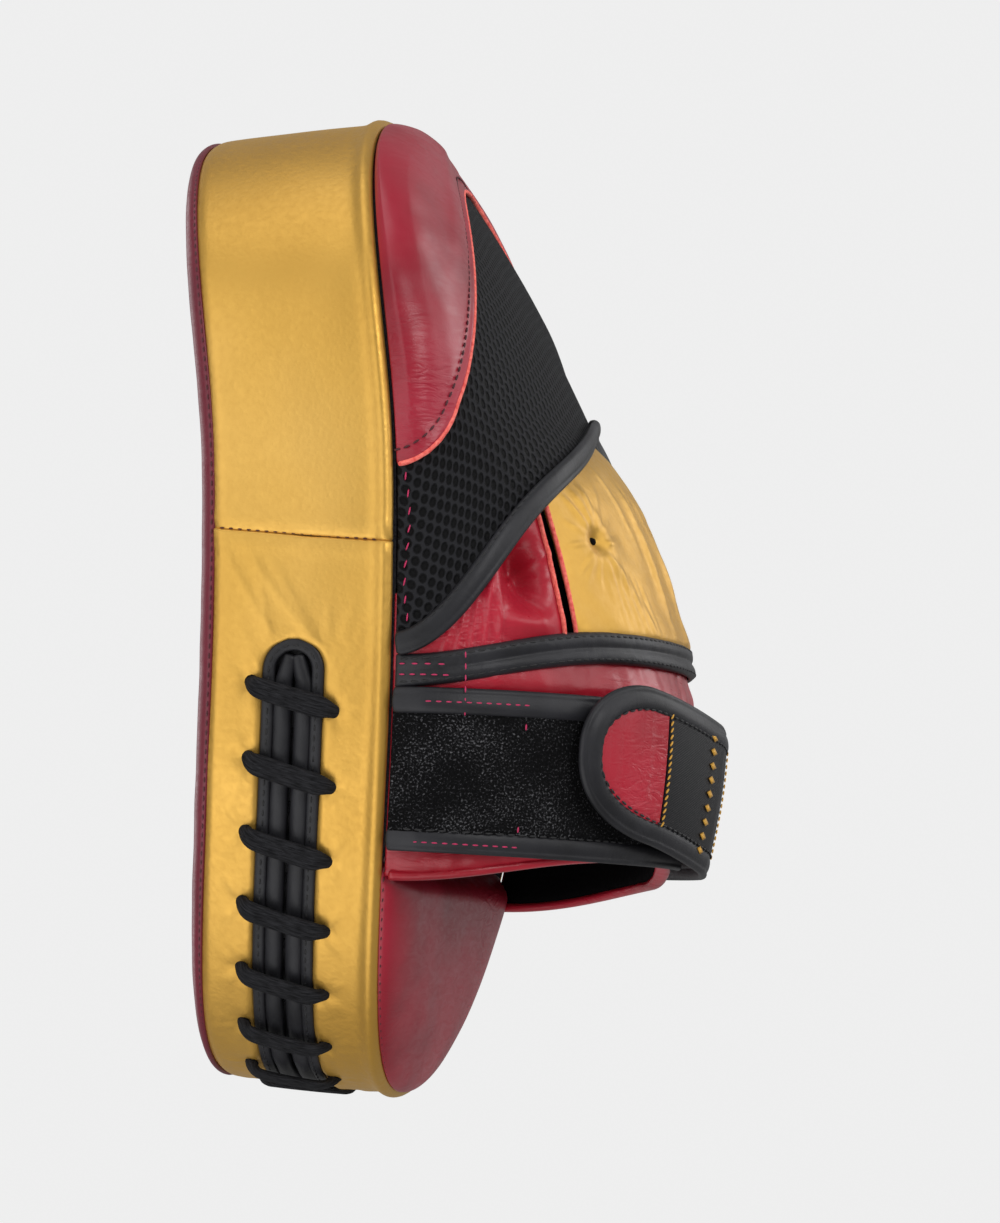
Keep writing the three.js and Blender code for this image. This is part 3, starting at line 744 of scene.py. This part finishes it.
for name, side in (("lace_roll_front_cover", -1), ("lace_roll_back_cover", 1)):
    sweep(name, roll_path(side), 150, oval(5.4, 4.2, 2.2, 12), "black_hide",
          shape=lambda u: (0.75 + 0.25 * min(1, min(u, 1 - u) * 20), 1 + 0.06 * math.sin(u * 90)),
          replaces=[name.replace("_cover", "")])


def slot_backing(u, v):
    depth = -3.4 + 2.8 * ease((v - 0.93) / 0.07)
    return heel_wall(SLOT_START - 1 + (SLOT_LENGTH + 2) * v, SLOT_CENTRE + 15 * (u - 0.5), depth)


sheet("slot_backing", 6, 120, slot_backing, "black_hide", levels=0, flip=True, replaces=["lace_tongue"])

LACE = []
for hole in HOLES:
    high = 3.0 if hole < HOLES[-2] else 1.1  # the last two crossings lie close on the curved end
    LACE += [(hole - SLANT - 1.5, -HOLE_SPREAD, -4.2), (hole - SLANT, -HOLE_SPREAD, 0.4),
             (hole - SLANT * 0.6, -HOLE_SPREAD * 0.7, high), (hole + SLANT * 0.6, HOLE_SPREAD * 0.7, high),
             (hole + SLANT, HOLE_SPREAD, 0.4), (hole + SLANT + 1.5, HOLE_SPREAD, -4.2)]


def lace_path(u, off):
    """The lace over and under the wall, as a smooth run through its stations."""
    at = clamp(u) * (len(LACE) - 1)
    i = min(int(at), len(LACE) - 2)
    w = at - i
    p = [LACE[clamp(k, 0, len(LACE) - 1)] for k in (i - 1, i, i + 1, i + 2)]
    value = []
    for a, b, c, d in zip(*p):
        m0, m1 = 0.35 * (c - a), 0.35 * (d - b)
        value.append((1 + 2 * w) * (1 - w) ** 2 * b + w * (1 - w) ** 2 * m0 + w * w * (3 - 2 * w) * c
                     - w * w * (1 - w) * m1)
    return heel_wall(value[0], SLOT_CENTRE + value[1], value[2] + off)


def lace_shape(u):
    """Full width over the slot, pinched where the lace enters a hole."""
    at = (u * (len(LACE) - 1)) % 6
    over = 1 - clamp(abs(at - 2.5) / 1.6)
    fold = 1 + 0.12 * noise.noise(Vector((u * 40, 0, 0)))
    return (0.62 + 0.4 * ease(over * 1.4)) * fold, 1.5 - 0.5 * ease(over * 1.6)


sweep("closure_lace", lace_path, 420, oval(6.4, 2.3, 2.6, 12), "lace_weave", shape=lace_shape, replaces=["lace"])

# painted shade: a dark disc in each lace hole stands in for the shade inside it
hole_shade_discs("lace_hole_shade", [[heel_wall(hole + side * SLANT, SLOT_CENTRE + side * HOLE_SPREAD, h) for h in (0.1, 1.1)]
                          for hole in HOLES for side in (-1, 1)], (0.0021, 0.0021, 0.0006))

# ---------------------------------------------------------------- seams of the pad
def front_seam(wall):
    def path(u, off):
        return wall(wall.length * (0.003 + 0.994 * u), FRONT - 0.1, off - 0.5)
    return path


def back_seam(u, off):
    x, s = outline(-math.pi * (0.2 + 0.6 * u))
    return pad(x - 0.6 * x / HALF_WIDTH, s + 0.6, BACK + 0.3 + off)


stitches("front_seam_thread", [front_seam(crown_wall), front_seam(heel_wall)], "wine_thread", pitch=2.6,
         length=1.6, radius=0.26)
stitches("back_seam_thread", [back_seam], "wine_thread", pitch=2.9, length=1.7, radius=0.3, slant=0.5)


def cross_seam(start, slant):
    def path(u, off):
        return crown_wall(start + slant * (u - 0.5), FRONT + 3 + 45 * u, off + 0.1)
    return path


stitches("cross_seam_thread", [cross_seam(0, -4), cross_seam(crown_wall.length, 4)], "wine_thread", pitch=2.3,
         length=1.3, radius=0.22)

# ---------------------------------------------------------------- the finger hood
def hood_cloth(u, v):
    angle = 0.4 + 179.2 * u
    low = hood_edge(angle) + 3
    s = low + (104 - low) * v
    return hood(angle, s, 0.25 * noise.noise(Vector((angle * 0.05, s * 0.05, 1))))


sheet("mesh_hood_cloth", 100, 66, hood_cloth, "spacer_mesh", thickness=1.8, replaces=["mesh_hood"])


def overlay_station(angle, v):
    low = overlay_edge(angle)
    return low + (TIP - 0.3 - low) * (1 - (1 - v) ** 1.7)


def overlay_puff(angle, s, v):
    """Padding under the overlay: full along the pad's seam, pressed flat by the stitches at its edge."""
    from_edge = (s - overlay_edge(angle)) * (0.35 + 0.65 * math.sin(math.radians(angle)))
    x = half_width(s) * cosine(angle)
    from_seam = (1 - rho(x, s)) * HALF_WIDTH
    full = 3.6 * ease(from_edge / 16) * math.sqrt(clamp(from_seam / 7))
    channel = -0.9 * gauss((from_edge - 3.2) / 1.3)
    hollow = -1.6 * gauss((from_seam - 22) / 9) * ease(from_edge / 20)
    fold = 0.5 * noise.noise(Vector((x * 0.05, s * 0.12, 2))) * ease(from_edge / 8)
    return 1.7 + full + channel + hollow + fold


def overlay(u, v):
    angle = 0.3 + 179.4 * u
    s = overlay_station(angle, v)
    return hood(angle, s, overlay_puff(angle, s, v))


crown = sheet("crown_overlay_hide", 150, 60, overlay, "maroon_hide", thickness=1.2,
              replaces=["crown_overlay"])


def overlay_line(inside, height):
    """A path along the overlay's edge, a little inside it."""
    def path(u, off):
        angle = 1.0 + 178 * u
        slope = abs(overlay_edge(angle + 0.5) - overlay_edge(angle - 0.5))
        s = overlay_edge(angle) + inside * (1 + 0.35 * min(1, slope / 2))
        return hood(angle, s, height + off)
    return path


def frayed(name, path, steps, width=1.5, height=1.9):
    """A cut edge of hide, its fuzzy flesh side showing."""
    def shape(u):
        return 1 + 0.30 * noise.noise(Vector((u * 160, 0, 7))), 1 + 0.25 * noise.noise(Vector((u * 210, 5, 0)))
    return sweep(name, path, steps, oval(width, height, 2.0, 8), "raw_hide_edge", shape=shape)


frayed("overlay_raw_edge", overlay_line(0.2, 0.9), 260)
stitches("overlay_thread", [overlay_line(4.0, 1.9)], "wine_thread", pitch=2.9, length=2.1, radius=0.36)


def hood_binding_path(u, off):
    angle = 0.6 + 178.8 * u
    return hood(angle, hood_edge(angle) + 2.6, 0.6 + off)


def binding_section(width, high):
    """A folded binding: a round outer edge and a flatter stitched side."""
    return [(-width / 2, 0.0), (-width * 0.46, high * 0.55), (-width * 0.32, high * 0.95), (-width * 0.08, high),
            (width * 0.14, high * 0.86), (width * 0.24, high * 0.62), (width * 0.32, high * 0.74),
            (width * 0.44, high * 0.55), (width / 2, 0.0), (width * 0.3, -0.8), (0.0, -1.0), (-width * 0.3, -0.8)]


sweep("hood_edge_binding", hood_binding_path, 170, binding_section(7.0, 2.0), "black_hide",
      replaces=["hood_binding"])


def hood_stitch_line(u, off):
    angle = 3 + 174 * u
    slope = abs(hood_edge(angle + 0.5) - hood_edge(angle - 0.5))
    return hood(angle, hood_edge(angle) + 4.6 + 1.4 * min(1, slope), 1.9 + off)


stitches("hood_binding_thread", [hood_stitch_line], "black_thread", pitch=3.0, length=2.2, radius=0.32)


def hood_side_line(side):
    def path(u, off):
        s = 6 - 42 * u
        angle = 3.4 + 0.8 * math.sin(7 * u)
        return hood(angle if side > 0 else 180 - angle, s, 0.5 + off)
    return path


stitches("hood_side_thread", [hood_side_line(1), hood_side_line(-1)], "pink_thread", pitch=4.0, length=2.4,
         radius=0.26, slant=0.25)


# ---------------------------------------------------------------- the glove back
def panel_top(angle):
    return min(40, hood_edge(angle) + 16)


def tucked(angle, s):
    """1 in the open, 0 where a panel has gone under the hood's edge or the wrist band."""
    return ease((hood_edge(angle) + 1 - s) / 8) * ease((s - band_centre(angle)) / 5)


def under_hood(angle, s):
    """How far a panel drops where it runs in under the hood."""
    return 3.6 * (1 - ease((hood_edge(angle) + 7 - s) / 6))


PUCKER = (60.5, -8.0)  # angle and station of the breather hole
# Folds of the foil panel: start and end as (angle, station), then width and height.
BACK_FOLDS = [((58, -4), (52, 9), 1.0, 0.7), ((60, -3), (57, 12), 1.1, 0.9), ((61.5, -3), (63, 14), 1.2, 0.8),
              ((63, -4), (70, 10), 1.3, 0.7), ((64, -8), (72, -6), 1.2, 0.5), ((63, -12), (69, -22), 1.2, 0.6),
              ((60.5, -13), (61, -26), 1.2, 0.5), ((58, -12), (53, -20), 1.1, 0.6), ((75, 18), (80, -10), 1.6, 0.7),
              ((88, 20), (86, -22), 2.0, 0.5), ((52, 16), (64, 4), 1.2, 0.7), ((49.5, 10), (58, -2), 1.0, 0.6),
              ((66, -14), (76, -34), 1.6, 0.5), ((92, 8), (98, -26), 2.0, 0.5), ((84, 6), (85, -32), 2.2, 1.5)]
BACK_FOLDS += [((49 + 2.1 * k, 24 - 3 * k), (57 + 1.5 * k, 3 - 1.5 * k), 0.8, 0.55) for k in range(7)]
for k in range(11):  # pulled out of the breather hole all round
    across, along = math.cos(0.55 * k), math.sin(0.55 * k)
    BACK_FOLDS.append(((PUCKER[0] + 4 * across, PUCKER[1] + 5 * along),
                       (PUCKER[0] + 11 * across, PUCKER[1] + 14 * along), 0.75, 0.6))
BACK_FOLDS += [((62 + 2.4 * k, -14 - k), (63 + 2.6 * k, -33), 0.8, 0.45) for k in range(6)]


def glove_back(u, v):
    angle = 46.6 + 86.8 * u
    foot = band_centre(angle)
    s = foot + (panel_top(angle) - foot) * v
    bulge = 0.0
    for mirrored in (angle, 180 - angle):
        for start, end, wide, high in BACK_FOLDS:
            a = (start[0] * 1.25, start[1])
            b = (end[0] * 1.25, end[1])
            bulge += high * crease(mirrored * 1.25, s, a, b, wide * 0.9)
        away = math.hypot((mirrored - PUCKER[0]) * 1.25, s - PUCKER[1])
        bulge -= 2.4 * gauss(away / 2.2) - 0.8 * gauss((away - 6) / 4)
    puff = 1.4 * math.sin(math.pi * u) ** 0.7 + 0.8 * gauss((s + 31) / 7)
    small = 0.35 * noise.noise(Vector((angle * 0.16, s * 0.14, 4)))
    raised = (min(3.2, bulge * 0.7) + puff + small) * tucked(angle, s)
    return pocket(angle, s, raised - under_hood(angle, s))


sheet("glove_back_hide", 124, 92, glove_back, "gold_foil_hide", thickness=1.3,
      replaces=["hand_panel"])

# painted shade: a dark disc in each breather hole stands in for the shade inside it
hole_shade_discs("breather_hole_shade", [[pocket(a, PUCKER[1], h) for h in (-0.6, 0.4)] for a in (PUCKER[0], 180 - PUCKER[0])],
           (0.0015, 0.0012, 0.0008))


def panel_edge(angle, lift, start=0.0):
    def path(u, off):
        foot = band_centre(angle)
        s = foot + 4 + (panel_top(angle) - 12 - foot - 4) * (start + (1 - start) * u)
        return pocket(angle, s, lift + off)
    return path


for name, a in (("near", 46.4), ("far", 133.6)):
    frayed("glove_back_edge_" + name, panel_edge(a, 0.7), 110, width=1.3, height=1.7)


def side_panel(from_angle, to_angle):
    def place(u, v):
        angle = from_angle + (to_angle - from_angle) * u
        low = band_centre(angle)
        s = low + (panel_top(angle) - low) * v
        near = angle if angle < 90 else 180 - angle
        dent = -11 * math.exp(-((near - 34.5) / 4.8) ** 2 - ((s + 18) / 10) ** 2)
        ridge = 4.2 * math.exp(-((near - 25.5) / 2.8) ** 2 - ((s + 19) / 10) ** 2)
        brow = 4.2 * math.exp(-((near - 34) / 6.5) ** 2 - ((s + 31) / 3.4) ** 2)
        shoulder = 2.8 * math.exp(-((near - 37) / 3.0) ** 2 - ((s - 3) / 8) ** 2)
        folds = 0.0
        for k in range(5):
            folds += 0.7 * crease(near * 1.5, s, (17 + 5.2 * k, -44), (25 + 4.4 * k, -24 + 2 * k), 1.0)
        for k in range(4):
            folds += 0.6 * crease(near * 1.5, s, (50.0, -21.0), (58 + 3.0 * k, -34 + 7.5 * k), 0.9)
        small = 0.45 * noise.noise(Vector((near * 0.22, s * 0.18, 6)))
        raised = (dent + ridge + brow + shoulder + folds + small) * tucked(angle, s)
        return pocket(angle, s, raised - under_hood(angle, s))
    return place


for name, a, b, edge in (("near", 0.0, 43.2, 43.0), ("far", 136.8, 180.0, 137.0)):
    sheet(f"side_hide_{name}", 80, 80, side_panel(a, b), "scarlet_hide", thickness=1.3,
          replaces=[f"side_panel_{name}"])

    def rim(u, off, place=side_panel(a, b), share=(1.0 if name == "near" else 0.0)):
        here = place(share, 0.05 + 0.7 * clamp(u))
        centre = pocket(edge, -20, -40)
        return here + (here - centre).normalized() * (off + 0.5) * MM
    frayed(f"side_edge_{name}", rim, 110, width=1.3, height=1.8)


def elastic(centre):
    def place(u, v):
        angle = centre - 3.6 + 7.2 * u
        low = band_centre(angle)
        s = low + (panel_top(angle) - low) * v
        return pocket(angle, s, -3.2 - 2.2 * math.exp(-((s + 18) / 12) ** 2) * (1 - abs(2 * u - 1)))
    return place


for name, a in (("near", 44.9), ("far", 135.1)):
    sheet(f"stretch_{name}", 10, 60, elastic(a), "elastic_knit", thickness=1.0,
          replaces=[f"stretch_insert_{name}"])


# ---------------------------------------------------------------- the band and the cuff
BAND_HALF = 4.6


def band(u, v):
    angle = 0.5 + 179 * u
    ridge = 1.5 + 0.9 * abs(math.sin(2 * math.pi * v)) ** 0.8 - 1.4 * (2 * v - 1) ** 8
    knots = 0.2 * noise.noise(Vector((angle * 0.7, v * 3, 8)))
    return pocket(angle, band_centre(angle) + BAND_HALF * (2 * v - 1), ridge + knots)


sheet("wrist_band_hide", 150, 16, band, "black_hide", thickness=1.6, replaces=["wrist_band"])


def band_line(aside):
    def path(u, off):
        angle = 3 + 174 * u
        return pocket(angle, band_centre(angle) + aside, 2.2 + off)
    return path


stitches("band_thread", [band_line(3.0), band_line(-3.0)], "black_thread",
         pitch=3.0, length=2.3, radius=0.34)


def cuff(u, v):
    angle = 180 * u
    top, low = band_centre(angle) + 2, cuff_lip(angle)
    s = low + (top - low) * v
    near = min(angle, 180 - angle)
    swell = 1.6 * gauss((s + 47.5) / 4.5) * ease(near / 30)
    pinch = 0.5 * noise.noise(Vector((angle * 0.35, s * 0.05, 2))) + 0.35 * noise.noise(
        Vector((angle * 1.1, s * 0.12, 4)))
    lip = 1.4 * gauss((s - low - 3.5) / 3.0) - 1.0 * gauss((s - low) / 1.2)
    return pocket(angle, s, swell + pinch + lip - 0.6)


cuff_hide = sheet("cuff_hide", 140, 56, cuff, "scarlet_hide", thickness=1.6, replaces=["cuff"])


def cuff_inside(u, v):
    angle = 180 * u
    top, low = band_centre(angle) - 1, cuff_lip(angle)
    s = low + 0.4 + (top - low) * v
    return pocket(angle, s, -3.6 + 1.6 * gauss((s - low) / 1.6) + 0.3 * noise.noise(Vector((angle * 0.3, s * 0.2, 0))))


sheet("cuff_lining_cloth", 90, 30, cuff_inside, "brushed_lining", thickness=1.0,
      replaces=["cuff_lining"])


def lip_rim(u, off):
    angle = 1 + 178 * u
    return pocket(angle, cuff_lip(angle) + 0.6, -1.7 + off)


sweep("cuff_lip_binding", lip_rim, 150, oval(3.0, 4.6, 2.2, 12), "scarlet_hide",
      shape=lambda u: (1, 1 + 0.06 * noise.noise(Vector((u * 60, 0, 0)))))

# ---------------------------------------------------------------- inside the hand pocket
def palm_cloth(u, v):
    s = -94 + 150 * v
    return pad((2 * u - 1) * (half_width(s) - 10), s, PALM + 1.0 + 0.3 * noise.noise(Vector((u * 6, v * 9, 0))))


sheet("palm_lining_cloth", 30, 30, palm_cloth, "brushed_lining", thickness=0.9, flip=True,
      replaces=["palm_lining"])
low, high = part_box("palm_ball_cover")
bm = bmesh.new()
bmesh.ops.create_uvsphere(bm, u_segments=40, v_segments=20, radius=1)
bmesh.ops.bisect_plane(bm, geom=bm.verts[:] + bm.edges[:] + bm.faces[:], plane_co=(0, 0, 0), plane_no=(0, -1, 0),
                       clear_outer=True)
middle = (Vector(low) + Vector(high)) / 2
for vert in bm.verts:
    seam = 1 - 0.03 * gauss(math.atan2(vert.co.x, vert.co.z) * 12)
    vert.co = Vector((vert.co.x * (high[0] - low[0]) / 2, vert.co.y * (high[1] - low[1]) * seam,
                      vert.co.z * (high[2] - low[2]) / 2)) + Vector((middle.x, low[1], middle.z))
bmesh.ops.recalc_face_normals(bm, faces=bm.faces)
ball = finished("grip_ball_hide", bm, "maroon_hide", "mitt", 1, 1.4, ["palm_ball_cover"])

# ---------------------------------------------------------------- the wrist strap
BINDING = 7.0


def base_web(u, v):
    angle = 0.6 + 97 * u
    s = STRAP_BOTTOM + 4 + (STRAP_TOP - STRAP_BOTTOM - 8) * v
    return pocket(angle, s, 2.2 + 0.35 * noise.noise(Vector((angle * 0.12, s * 0.1, 3))))


def base_backing(u, v):
    """The web's hide, a millimetre nearer the wrist than the face that carries the tape."""
    face = base_web(u, v)
    return face - (face - pad(0, -75, 30)).normalized() * MM


sheet("base_strap_hide", 70, 24, base_backing, "black_hide", levels=0, thickness=0.8, replaces=["base_strap"])
sheet("loop_tape_pile", 110, 50, proud(base_web, lambda u, v: 0.9 + 0.3 * noise.noise(Vector((u * 90, v * 45, 0)))),
      "loop_pile", thickness=1.2, replaces=["loop_tape"])


def pocket_line(a0, s0, a1, s1, height):
    """A straight line on the hand pocket from angle a0, station s0 to angle a1, station s1."""
    def path(u, off):
        return pocket(a0 + (a1 - a0) * u, s0 + (s1 - s0) * u, height + off)
    return path


sweep("base_binding_upper", pocket_line(0.6, STRAP_TOP - 3, 98, STRAP_TOP - 3, 2.2), 120,
      binding_section(-BINDING - 0.6, 1.9), "black_hide", replaces=["base_binding_top"])
sweep("base_binding_lower", pocket_line(0.6, STRAP_BOTTOM + 3, 98, STRAP_BOTTOM + 3, 2.2), 120,
      binding_section(BINDING, 1.9), "black_hide", replaces=["base_binding_bottom"])


stitches("base_thread", [pocket_line(3, s, 60, s, 3.6) for s in (STRAP_TOP - 5.6, STRAP_BOTTOM + 5.6)],
         "black_thread", pitch=3.0, length=2.3, radius=0.32)
TACKS = [(2.5, STRAP_TOP - 3.4, 31.5, STRAP_TOP - 3.4, 4.0), (17.5, STRAP_TOP + 9, 17.5, STRAP_TOP - 6, 3.8),
         (31.5, STRAP_TOP - 3.4, 31.5, STRAP_TOP - 9, 3.8), (3, STRAP_BOTTOM + 2.4, 31, STRAP_BOTTOM + 2.4, 4.0),
         (31.5, STRAP_BOTTOM + 2.4, 31.5, STRAP_BOTTOM + 7, 3.8),
         (2.5, -43.6, 12, -43.6, 3.0), (2.5, -46.4, 13, -46.4, 3.0)]
stitches("tack_thread", [pocket_line(*tack) for tack in TACKS], "pink_thread", pitch=2.4, length=1.8, radius=0.26)


# ---------------------------------------------------------------- the lapping strap and its flap
FLAP_LOW, FLAP_HIGH = 6.6, 8.4
FAR_END = 179.2


def lap(u, v, margin, off):
    """The strap from its far seam, u=0, to the flap's round end, u=1."""
    low, high = LAP_BOTTOM + margin, LAP_TOP - margin
    end = flap_end(v) + margin * 0.75
    angle = FAR_END + (end - FAR_END) * u
    settle = ease((FAR_END - angle) / 60)
    return strap(angle, low + (high - low) * v, 2.6 + (off - 2.6) * settle)


sheet("wrist_strap_web", 150, 20, lambda u, v: lap(1 - u, v, 3.0, 7.2), "black_hide", body=None, levels=0,
      thickness=1.6, replaces=["anchor_strap", "flap_strap"])


def lap_edge(margin, lift):
    """Along the strap's upper edge, round the flap's end and back along its lower edge."""
    def path(u, off):
        turn = clamp((u - 0.42) / 0.16)
        v = 0.5 + 0.5 * math.cos(math.pi * turn)
        end = flap_end(v) + margin * 0.75
        share = u / 0.42 if u < 0.42 else (1 - u) / 0.42 if u > 0.58 else 1
        angle = FAR_END + (end - FAR_END) * share
        s = LAP_BOTTOM + margin + (LAP_TOP - LAP_BOTTOM - 2 * margin) * v
        settle = ease((FAR_END - angle) / 60)
        return strap(angle, s, 2.6 + (lift - 2.6) * settle + off)
    return path


sweep("wrist_strap_binding", lap_edge(3.4, 7.0), 360, binding_section(BINDING + 0.8, 2.6), "black_hide", body=None,
      replaces=["anchor_binding_top", "anchor_binding_bottom", "flap_binding"])
stitches("strap_binding_thread", [lap_edge(5.9, 9.3)], "black_thread", body=None, pitch=3.0, length=2.3,
         radius=0.34)


def flap_piece(start, stop, margin, off, round_end=False):
    def place(u, v):
        low, high = LAP_BOTTOM + margin, LAP_TOP - margin
        end = flap_end(v) + margin * 0.75 if round_end else stop
        angle = start + (end - start) * u
        s = low + (high - low) * v
        ripple = 0.3 * noise.noise(Vector((angle * 0.4, s * 0.02, 5))) if round_end else 0
        return strap(angle, s, off + ripple)
    return place


sheet("flap_patch_hide", 50, 50, flap_piece(66, 43, 5.4, 9.0, True), "scarlet_hide", "flap",
      thickness=1.2, flip=True, replaces=["flap_patch"])
sheet("flap_label_weave", 60, 40, flap_piece(102, 66.3, 5.6, 9.1), "woven_label", "flap", thickness=0.8,
      flip=True, replaces=["flap_label"])
sheet("flap_hook_tape", 50, 24, flap_piece(92, 43, 6.2, 6.2, True), "loop_pile", "flap", thickness=1.0,
      flip=True, replaces=["hook_tape"])


def label_line(angle):
    def path(u, off):
        return strap(angle, LAP_BOTTOM + 6 + (LAP_TOP - LAP_BOTTOM - 12) * u, 9.4 + off)
    return path


stitches("label_thread", [label_line(66.6), label_line(100.5)], "gold_thread", "flap", pitch=1.7, length=1.9,
         radius=0.36, slant=0.9)


bm = bmesh.new()
for k in range(9):
    here, out = strap(84, -60 - 3.7 * k, 9.4), strap(84, -60 - 3.7 * k, 10.4)
    side = (strap(85, -60 - 3.7 * k, 9.4) - here).normalized()
    basis = Matrix((side, (out - here).normalized(), side.cross(out - here).normalized())).transposed().to_4x4()
    size = Matrix.Diagonal((0.0030, 0.00022, 0.0012, 1))
    bmesh.ops.create_uvsphere(bm, u_segments=4, v_segments=2, radius=1,
                              matrix=Matrix.Translation(here) @ basis @ size)
finished("label_lozenges", bm, "gold_thread", "flap")

toward = (strap(102, -75, 8) - strap(114, -75, 8)).normalized()
for name in ("wrist_strap_web", "wrist_strap_binding", "strap_binding_thread"):
    piece = bpy.data.objects[name]
    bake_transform(piece)

for node_name in ("impact_foam", "core_foam", "back_foam", "palm_ball_core"):
    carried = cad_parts[node_name]
    for slot_at in carried.material_slots:
        slot_at.material = MATERIALS["closed_cell_foam"]

# ---------------------------------------------------------------- two lists of pieces, looped over with no step taken
for name in ("overlay_raw_edge", "glove_back_edge_near", "glove_back_edge_far", "side_edge_near", "side_edge_far",
             "cuff_lip_binding"):
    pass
for name in ("lace_hole_shade", "breather_hole_shade", "slot_stitching", "band_thread", "strap_binding_thread"):
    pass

# ---------------------------------------------------------------- the studio
bm = bmesh.new()
FLOOR, RADIUS, COVE, WALL_TOP = -0.7, 3.0, 1.5, 3.2
turns = [math.pi / 2 * i / 10 for i in range(1, 11)]
profile = [(RADIUS * i / 8, FLOOR) for i in range(9)]
profile += [(RADIUS + COVE * math.sin(turn), FLOOR + COVE * (1 - math.cos(turn))) for turn in turns]
profile.append((RADIUS + COVE, WALL_TOP))
points = [bm.verts.new((r, 0, z)) for r, z in profile]
edges = [bm.edges.new(pair) for pair in zip(points, points[1:])]
bmesh.ops.spin(bm, geom=points + edges, cent=(0, 0, 0), axis=(0, 0, 1), angle=2 * math.pi, steps=64, use_merge=True)
bmesh.ops.remove_doubles(bm, verts=bm.verts, dist=1e-5)
bmesh.ops.recalc_face_normals(bm, faces=bm.faces)
floor = finished("studio_floor", bm, "backdrop_paper", None)
floor.visible_glossy = floor.visible_diffuse = floor.visible_shadow = False


CENTRE = Vector((0, 0, -0.02))


def softbox(name, place, size, power):
    lamp = bpy.data.lights.new(name, "AREA")
    lamp.shape, lamp.size, lamp.size_y = "RECTANGLE", size[0], size[1]
    lamp.energy = power
    holder = bpy.data.objects.new(name, lamp)
    holder.location = place
    holder.rotation_euler = (CENTRE - Vector(place)).to_track_quat("-Z", "Y").to_euler()
    bpy.context.scene.collection.objects.link(holder)


for name, place, size, power in (("key", (1.7, -1.1, 0.1), (1.8, 3.2), 21),
                                 ("fill", (1.5, 1.5, 0.9), (0.9, 1.2), 18),
                                 ("top", (0.5, -0.2, 1.9), (1.6, 1.6), 11),
                                 ("low", (1.0, -0.2, -1.2), (1.8, 1.4), 10),
                                 ("right_rim", (-1.3, 1.2, 0.6), (0.7, 1.2), 6),
                                 ("side", (-0.1, 1.9, 0.6), (1.3, 1.7), 11),
                                 ("left_rim", (-0.7, -1.5, 0.2), (1.0, 1.6), 9)):
    softbox(name + "_softbox", place, size, power)
world = bpy.data.worlds.new("studio_air")
bpy.context.scene.world = world
world.use_nodes = True
world.node_tree.nodes["Background"].inputs["Color"].default_value = (1, 1, 1, 1)
world.node_tree.nodes["Background"].inputs["Strength"].default_value = 0.30

# A long lens, level with the wrist and a little below it, that looks along the mitt's edge.
azimuth, elevation = math.radians(102.5), math.radians(-4.5)
back = Vector((math.sin(azimuth) * math.cos(elevation), -math.cos(azimuth) * math.cos(elevation), math.sin(elevation)))
right = Vector((0, 0, 1)).cross(back).normalized()
up = back.cross(right)
lens = bpy.data.cameras.new("camera")
lens.sensor_fit, lens.sensor_width, lens.lens = "AUTO", 36, 153.655
lens.clip_start, lens.clip_end = 0.05, 30
camera = bpy.data.objects.new("camera", lens)
camera.location = Vector((0, -PALM * MM, 0)) + right * 0.0334 - up * 0.0229 + back * 1.5
camera.rotation_euler = back.to_track_quat("Z", "Y").to_euler()
bpy.context.scene.collection.objects.link(camera)
bpy.context.scene.camera = camera
